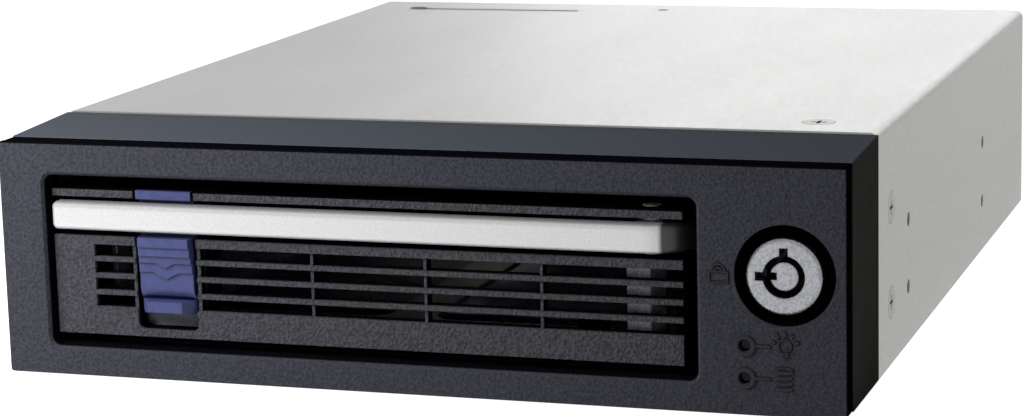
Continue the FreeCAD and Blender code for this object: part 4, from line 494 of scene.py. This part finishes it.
# ------------------------------------------------------------------ backplane
# Woven glass board under green mask, which stands on brass spacers across the back of the cage.
# Its sockets are moulded in black and in cream plastic, and chips and capacitors are soldered on.
MASK_DARK, MASK_LIGHT, THREADS_PER_METRE = (0.009, 0.085, 0.036), (0.015, 0.12, 0.05), 700.0
board_green, tree, shader = finish("board_green", MASK_LIGHT, roughness=0.3)
wave = tree.nodes.new("ShaderNodeTexWave")
wave.inputs["Scale"].default_value = THREADS_PER_METRE
wave.inputs["Distortion"].default_value = 1.0
where = tree.nodes.new("ShaderNodeTexCoord")
tree.links.new(where.outputs["Object"], wave.inputs["Vector"])
weave = wave.outputs["Fac"]
paint(tree, shader, ramp(tree, weave, MASK_DARK, MASK_LIGHT, 0.4))
roughen(tree, shader, weave, 0.24, 0.36)
relief(tree, shader, weave, depth=0.000008)
dress(board_green, "backplane_board", "led_board")
socket_black = plain_plastic("socket_plastic", dark=(0.010, 0.010, 0.010), light=(0.018, 0.018, 0.018))
dress(socket_black, "drive_receptacle", "data_socket")
dress(plain_plastic("header_plastic", dark=(0.72, 0.71, 0.67), light=(0.80, 0.79, 0.75)), "power_header")
brass, tree, shader = finish("brass", (0.70, 0.54, 0.26), roughness=0.3, metallic=1.0)
turned = grain(tree, 1800.0, ALONG_DEPTH)
paint(tree, shader, ramp(tree, turned, (0.62, 0.46, 0.20), (0.76, 0.60, 0.31)))
roughen(tree, shader, turned, 0.2, 0.4)
dress(brass, "board_standoffs")
pin_gold, tree, shader = finish("pin_brass", (0.85, 0.66, 0.33), roughness=0.2, metallic=1.0)
plated = grain(tree, 2500.0)
paint(tree, shader, ramp(tree, plated, (0.80, 0.60, 0.28), (0.90, 0.72, 0.40)))
roughen(tree, shader, plated, 0.14, 0.3)
dress(pin_gold, "power_pins")


def soft_box(low, high, ease, rows=9):
    """Box with eased edges between two corners in millimetres: a grid of latitudes and longitudes on
    a sphere is pushed out to a cube, scaled to the box, and each point is then drawn in to the box
    less its ease and moved out again by the ease along the same line."""
    low, high = np.asarray(low, dtype=float), np.asarray(high, dtype=float)
    sides = 4 * (rows - 1)
    lift, turn = np.meshgrid(np.linspace(-np.pi / 2, np.pi / 2, rows),
                             np.linspace(0, 2 * np.pi, sides, endpoint=False), indexing="ij")
    unit = np.stack([np.cos(lift) * np.cos(turn), np.cos(lift) * np.sin(turn), np.sin(lift)], axis=2)
    unit /= np.abs(unit).max(axis=2, keepdims=True)
    half = (high - low) / 2
    swollen = unit * half
    core = np.maximum(half - ease, 0.0)
    corner = np.clip(swollen, -core, core)
    out = swollen - corner
    length = np.maximum(np.linalg.norm(out, axis=2, keepdims=True), 1e-9)
    place = (low + high) / 2 + corner + out / length * ease
    return place.reshape(-1, 3) * MM, ring_quads(rows, sides)


# Each chip: X and Z of its middle, width, height and thickness, in millimetres.
CHIPS = ((-4.0, 27.0, 9.0, 9.0, 1.2), (14.0, 28.0, 6.0, 5.0, 1.0), (42.0, 26.0, 5.0, 4.0, 1.0))
CHIP_EASE, CHIP_SEAT = 0.12, 0.05
LEG_PITCH, LEG_L, LEG_W, LEG_T, LEG_INSET = 0.8, 0.9, 0.35, 0.3, 0.8
LEG_EASE, LEG_SEAT, LEGLESS_W = 0.06, 0.03, 1.0
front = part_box("backplane_board")[0].y / MM
surfaces = [soft_box((x - w / 2, front - t, z - h / 2), (x + w / 2, front + CHIP_SEAT, z + h / 2),
                     CHIP_EASE) for x, z, w, h, t in CHIPS]
add_piece("board_chips", surfaces, socket_black, "cage")
surfaces = []
for x, z, w, h, _ in CHIPS:
    for i in range(int((w - LEGLESS_W) / LEG_PITCH)):
        leg_x = x - w / 2 + LEG_INSET + i * LEG_PITCH
        for edge in (z - h / 2 - LEG_L, z + h / 2):
            surfaces.append(soft_box((leg_x - LEG_W / 2, front - LEG_T, edge),
                                     (leg_x + LEG_W / 2, front + LEG_SEAT, edge + LEG_L),
                                     LEG_EASE, 5))
tin, tree, shader = finish("tinned_legs", (0.72, 0.72, 0.72), roughness=0.3, metallic=1.0)
roughen(tree, shader, grain(tree, 3000.0), 0.2, 0.45)
add_piece("chip_legs", surfaces, tin, "cage")


def turned_can(x, z, start_y, end_y, radius, sides=24):
    """Can along +Y: a profile of shares of the radius over shares of the length, with an eased edge
    and a crimp, turned about the can's axis."""
    profile = np.array([[0.0, 0.0], [0.86, 0.0], [0.97, 0.05], [1.0, 0.12], [1.0, 0.74], [0.93, 0.79],
                        [1.0, 0.84], [1.0, 1.0], [0.0, 1.0]])
    turn = np.linspace(0, 2 * np.pi, sides, endpoint=False)
    reach = radius * profile[:, :1]
    depth = np.broadcast_to(start_y + (end_y - start_y) * profile[:, 1:], (len(profile), sides))
    place = np.stack([x + reach * np.cos(turn), depth, z + reach * np.sin(turn)], axis=2)
    return place.reshape(-1, 3) * MM, ring_quads(len(profile), sides)


CANS = ((50.0, 28.0), (58.0, 24.0), (-19.0, 20.0))
CAN_R, CAN_H, CAN_SEAT = 2.4, 5.6, 0.05
cans = [turned_can(x, z, front - CAN_H, front + CAN_SEAT, CAN_R) for x, z in CANS]
add_piece("board_capacitors", cans, tin, "cage")


# Gold-washed contacts on the tongues of the drive's plug and of the rear data plug.
def contact_row(first_x, pitch, count, y0, y1, z, width=0.7, thick=0.16, sink=0.04, ease=0.05):
    """Row of flat strips on the upper face of a tongue: eased boxes an even pitch apart."""
    return [soft_box((x - width / 2, y0, z - sink), (x + width / 2, y1, z + thick), ease, 5)
            for x in first_x + pitch * np.arange(count)]


PLUG_ROWS, PLUG_PITCH, PLUG_START, PLUG_STOP, TONGUE_Z = ((-14.6, 14), (8.4, 6)), 1.27, 1.0, 3.3, 3.6
DATA_X, DATA_PITCH, DATA_COUNT, DATA_START, DATA_STOP, DATA_Z = 5.0, 1.1, 6, 4.0, 1.6, 0.6
plug_low, plug_high = (np.array(corner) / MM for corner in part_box("drive_receptacle"))
data_low, data_high = (np.array(corner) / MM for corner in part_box("data_socket"))
surfaces = contact_row(data_low[0] + DATA_X, DATA_PITCH, DATA_COUNT, data_low[1] + DATA_START,
                       data_high[1] - DATA_STOP, (data_low[2] + data_high[2]) / 2 + DATA_Z)
for first_x, count in PLUG_ROWS:
    surfaces += contact_row((plug_low[0] + plug_high[0]) / 2 + first_x, PLUG_PITCH, count,
                            plug_low[1] + PLUG_START, plug_high[1] - PLUG_STOP, plug_low[2] + TONGUE_Z)
add_piece("plug_contacts", surfaces, pin_gold, "cage")

# ------------------------------------------------------------------ fan and rails
# Glass-filled black plastic: the fan's frame and rotor, screwed to the rear panel, and the two
# grooved rails that the carrier slides in, screwed to the cover's sides.
dress(plain_plastic("fan_plastic", dark=(0.010, 0.010, 0.010), light=(0.020, 0.020, 0.021), low=0.35,
                    high=0.5), "fan_frame", "fan_rotor")
dress(plain_plastic("rail_plastic", dark=(0.018, 0.018, 0.019), light=(0.028, 0.028, 0.029)),
      "guide_rail_left", "guide_rail_right")

# ------------------------------------------------------------------ carrier front
# Moulded grille with the handle's slot and the latch's channel, in the faceplate's plastic.  It
# is eroded on its face and on the back of the short well that shows below the latch, which is
# painted light grey as painted light; behind the front and on its top it is painted black as painted
# shade.
CARRIER_DARK, CARRIER_LIGHT = (0.048, 0.049, 0.057), (0.086, 0.087, 0.099)
CARRIER_SKIN, CARRIER_EDGE, CARRIER_PITS = 0.0006, 0.0001, 0.0007
WELL_BACK, WELL_H, WELL_EDGE, WELL_PAINTED_LIGHT = 0.0033, 0.0012, 0.0006, (0.24, 0.247, 0.277)
carrier_low, carrier_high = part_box("carrier_front")
latch_low, latch_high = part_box("latch")
# Painted shade: black behind the front skin and on the top, as on the faceplate.
carrier_plastic, tree, speckle_and_shade, shader = eroded_plastic(
    "carrier_plastic", CARRIER_DARK, CARRIER_LIGHT, carrier_low.y, CARRIER_SKIN,
    carrier_high.z - CARRIER_EDGE, CARRIER_PITS)
# Painted light: the back of the well below the latch is painted light grey.
well = inside(tree, ("Y", carrier_low.y + WELL_BACK), ("Z", latch_low.z + WELL_H, -WELL_H),
              ("X", latch_low.x + WELL_EDGE, WELL_EDGE), ("X", latch_high.x - WELL_EDGE, -WELL_EDGE))
paint(tree, shader, blend(tree, well, speckle_and_shade, WELL_PAINTED_LIGHT))
dress(carrier_plastic, "carrier_front")

# ------------------------------------------------------------------ hinge block, handle and pin
# Die-cast handle in fine-flaked silver paint, with its rounded heel painted dark grey as painted
# shade; the block that carries its pin, in the handle's metal painted much darker as painted shade;
# and the pin, whose polished head is painted near-white as a painted highlight.
SILVER_DARK, SILVER_LIGHT = (0.50, 0.495, 0.50), (0.59, 0.585, 0.59)
HEEL_X, HEEL_FADE, HEEL_PAINTED_SHADE, PIN_DOME = 0.0426, 0.0007, (0.045, 0.045, 0.048), 0.0012
handle_silver, tree, shader = finish("handle_silver", SILVER_LIGHT, roughness=0.4, metallic=0.5)
flake = grain(tree, 3400.0, detail=3.0)
silver = ramp(tree, flake, SILVER_DARK, SILVER_LIGHT, 0.15)
# Painted shade: the rounded heel past the silver is painted dark grey.
paint(tree, shader, blend(tree, beyond(tree, "X", HEEL_X, HEEL_FADE), silver, HEEL_PAINTED_SHADE))
roughen(tree, shader, flake, 0.3, 0.52)
relief(tree, shader, flake, depth=0.00001, strength=0.4, edge=0.0003)
dress(handle_silver, "handle")
# Painted shade: the block is the handle's metal, painted much darker.
block_painted_shade, tree, shader = finish("block_painted_shade", (0.22, 0.22, 0.23), roughness=0.4, metallic=0.6)
cast = grain(tree, 3000.0, detail=3.0)
paint(tree, shader, ramp(tree, cast, (0.05, 0.05, 0.06), (0.16, 0.16, 0.17), 0.2))
roughen(tree, shader, cast, 0.3, 0.55)
relief(tree, shader, cast, depth=0.00003, strength=0.6, edge=0.0003)
dress(block_painted_shade, "hinge_block")
# Painted highlight: the steel pin is painted near-white so that its head shows bright.
pin_steel, tree, shader = finish("pin_steel", (0.95, 0.95, 0.94), roughness=0.25, metallic=0.1,
                                 specular=1.0)
polish = grain(tree, 2500.0)
roughen(tree, shader, polish, 0.2, 0.34)
relief(tree, shader, polish, depth=0.000004, strength=0.5, edge=PIN_DOME)
dress(pin_steel, "hinge_pin")

# ------------------------------------------------------------------ latch and its cap
# Push-down latch and the cap above it, moulded in blue-violet plastic, with painted shade darkening
# the creases where the laps of the front meet; the plate and wings behind the front, and all past
# either flank, are painted black as painted shade.
BLUE_DARK, BLUE_LIGHT = (0.044, 0.053, 0.146), (0.058, 0.069, 0.187)
CREASE, CREASE_FULL, CREASE_NONE, CREASE_PAINTED_SHADE = 0.0008, 0.5, 0.97, (0.009, 0.009, 0.034)
LATCH_REAR, LATCH_HALF_W, FLANK_FADE = -0.0872, 0.00507, 0.0001
latch_blue, tree, shader = finish("latch_blue", BLUE_LIGHT, roughness=0.4, specular=0.25)
mottle = grain(tree, 700.0, detail=3.0)
# Painted shade: black behind the latch's front.
violet = blend(tree, beyond(tree, "Y", LATCH_REAR), ramp(tree, mottle, BLUE_DARK, BLUE_LIGHT), PAINTED_SHADE_BLACK)
# Painted shade: darker blue where the laps' creases gather shade.
crease = tree.nodes.new("ShaderNodeAmbientOcclusion")
crease.inputs["Distance"].default_value = CREASE
crease.samples = 8
shade = rescale(tree, crease.outputs["AO"], 1.0, 0.0, CREASE_FULL, CREASE_NONE)
violet = blend(tree, shade, violet, CREASE_PAINTED_SHADE)
latch_x = (latch_low.x + latch_high.x) / 2
# Painted shade: black past either flank of the latch.
for side in (-1, 1):
    past_flank = beyond(tree, "X", latch_x + side * LATCH_HALF_W, side * FLANK_FADE)
    violet = blend(tree, past_flank, violet, PAINTED_SHADE_BLACK)
paint(tree, shader, violet)
pebble = grain(tree, 2600.0)
roughen(tree, shader, pebble, 0.34, 0.5)
relief(tree, shader, pebble, depth=0.00002, strength=0.5, edge=0.0002)
dress(latch_blue, "latch", "latch_cap")

# ------------------------------------------------------------------ tray and runners
# Zinc-coated sheet tray, folded and screwed to the back of the carrier's front, with a rolled
# grain, and two low-friction plastic strips pressed on its walls.
tray_steel, tree, shader = finish("tray_steel", (0.66, 0.66, 0.65), roughness=0.42, metallic=0.9)
rolled = grain(tree, 1800.0, ALONG_DEPTH)
paint(tree, shader, ramp(tree, rolled, (0.58, 0.58, 0.57), (0.68, 0.68, 0.67)))
roughen(tree, shader, rolled, 0.35, 0.5)
relief(tree, shader, rolled, depth=0.000004, edge=0.0003)
dress(tray_steel, "drive_tray")
dress(plain_plastic("runner_plastic", dark=(0.045, 0.045, 0.047), light=(0.06, 0.06, 0.063)),
      "tray_runners")

# ------------------------------------------------------------------ screws, cam and spring
# Zinc-plated steel, dulled by handling: all the turned screws, the lock's stamped cam, and the
# latch's coil spring.
screw_steel, tree, shader = finish("screw_steel", (0.30, 0.30, 0.29), roughness=0.45, metallic=0.85)
wear = grain(tree, 1500.0, detail=3.0)
paint(tree, shader, ramp(tree, wear, (0.22, 0.22, 0.215), (0.34, 0.34, 0.33)))
roughen(tree, shader, wear, 0.36, 0.5)
relief(tree, shader, wear, depth=0.000006, strength=0.5, edge=0.0002)
dress(screw_steel, "collar_screws", "rail_screws", "led_board_screw", "board_screws", "fan_screws",
      "tray_screws", "cam_screw", "lock_cam", "latch_spring")
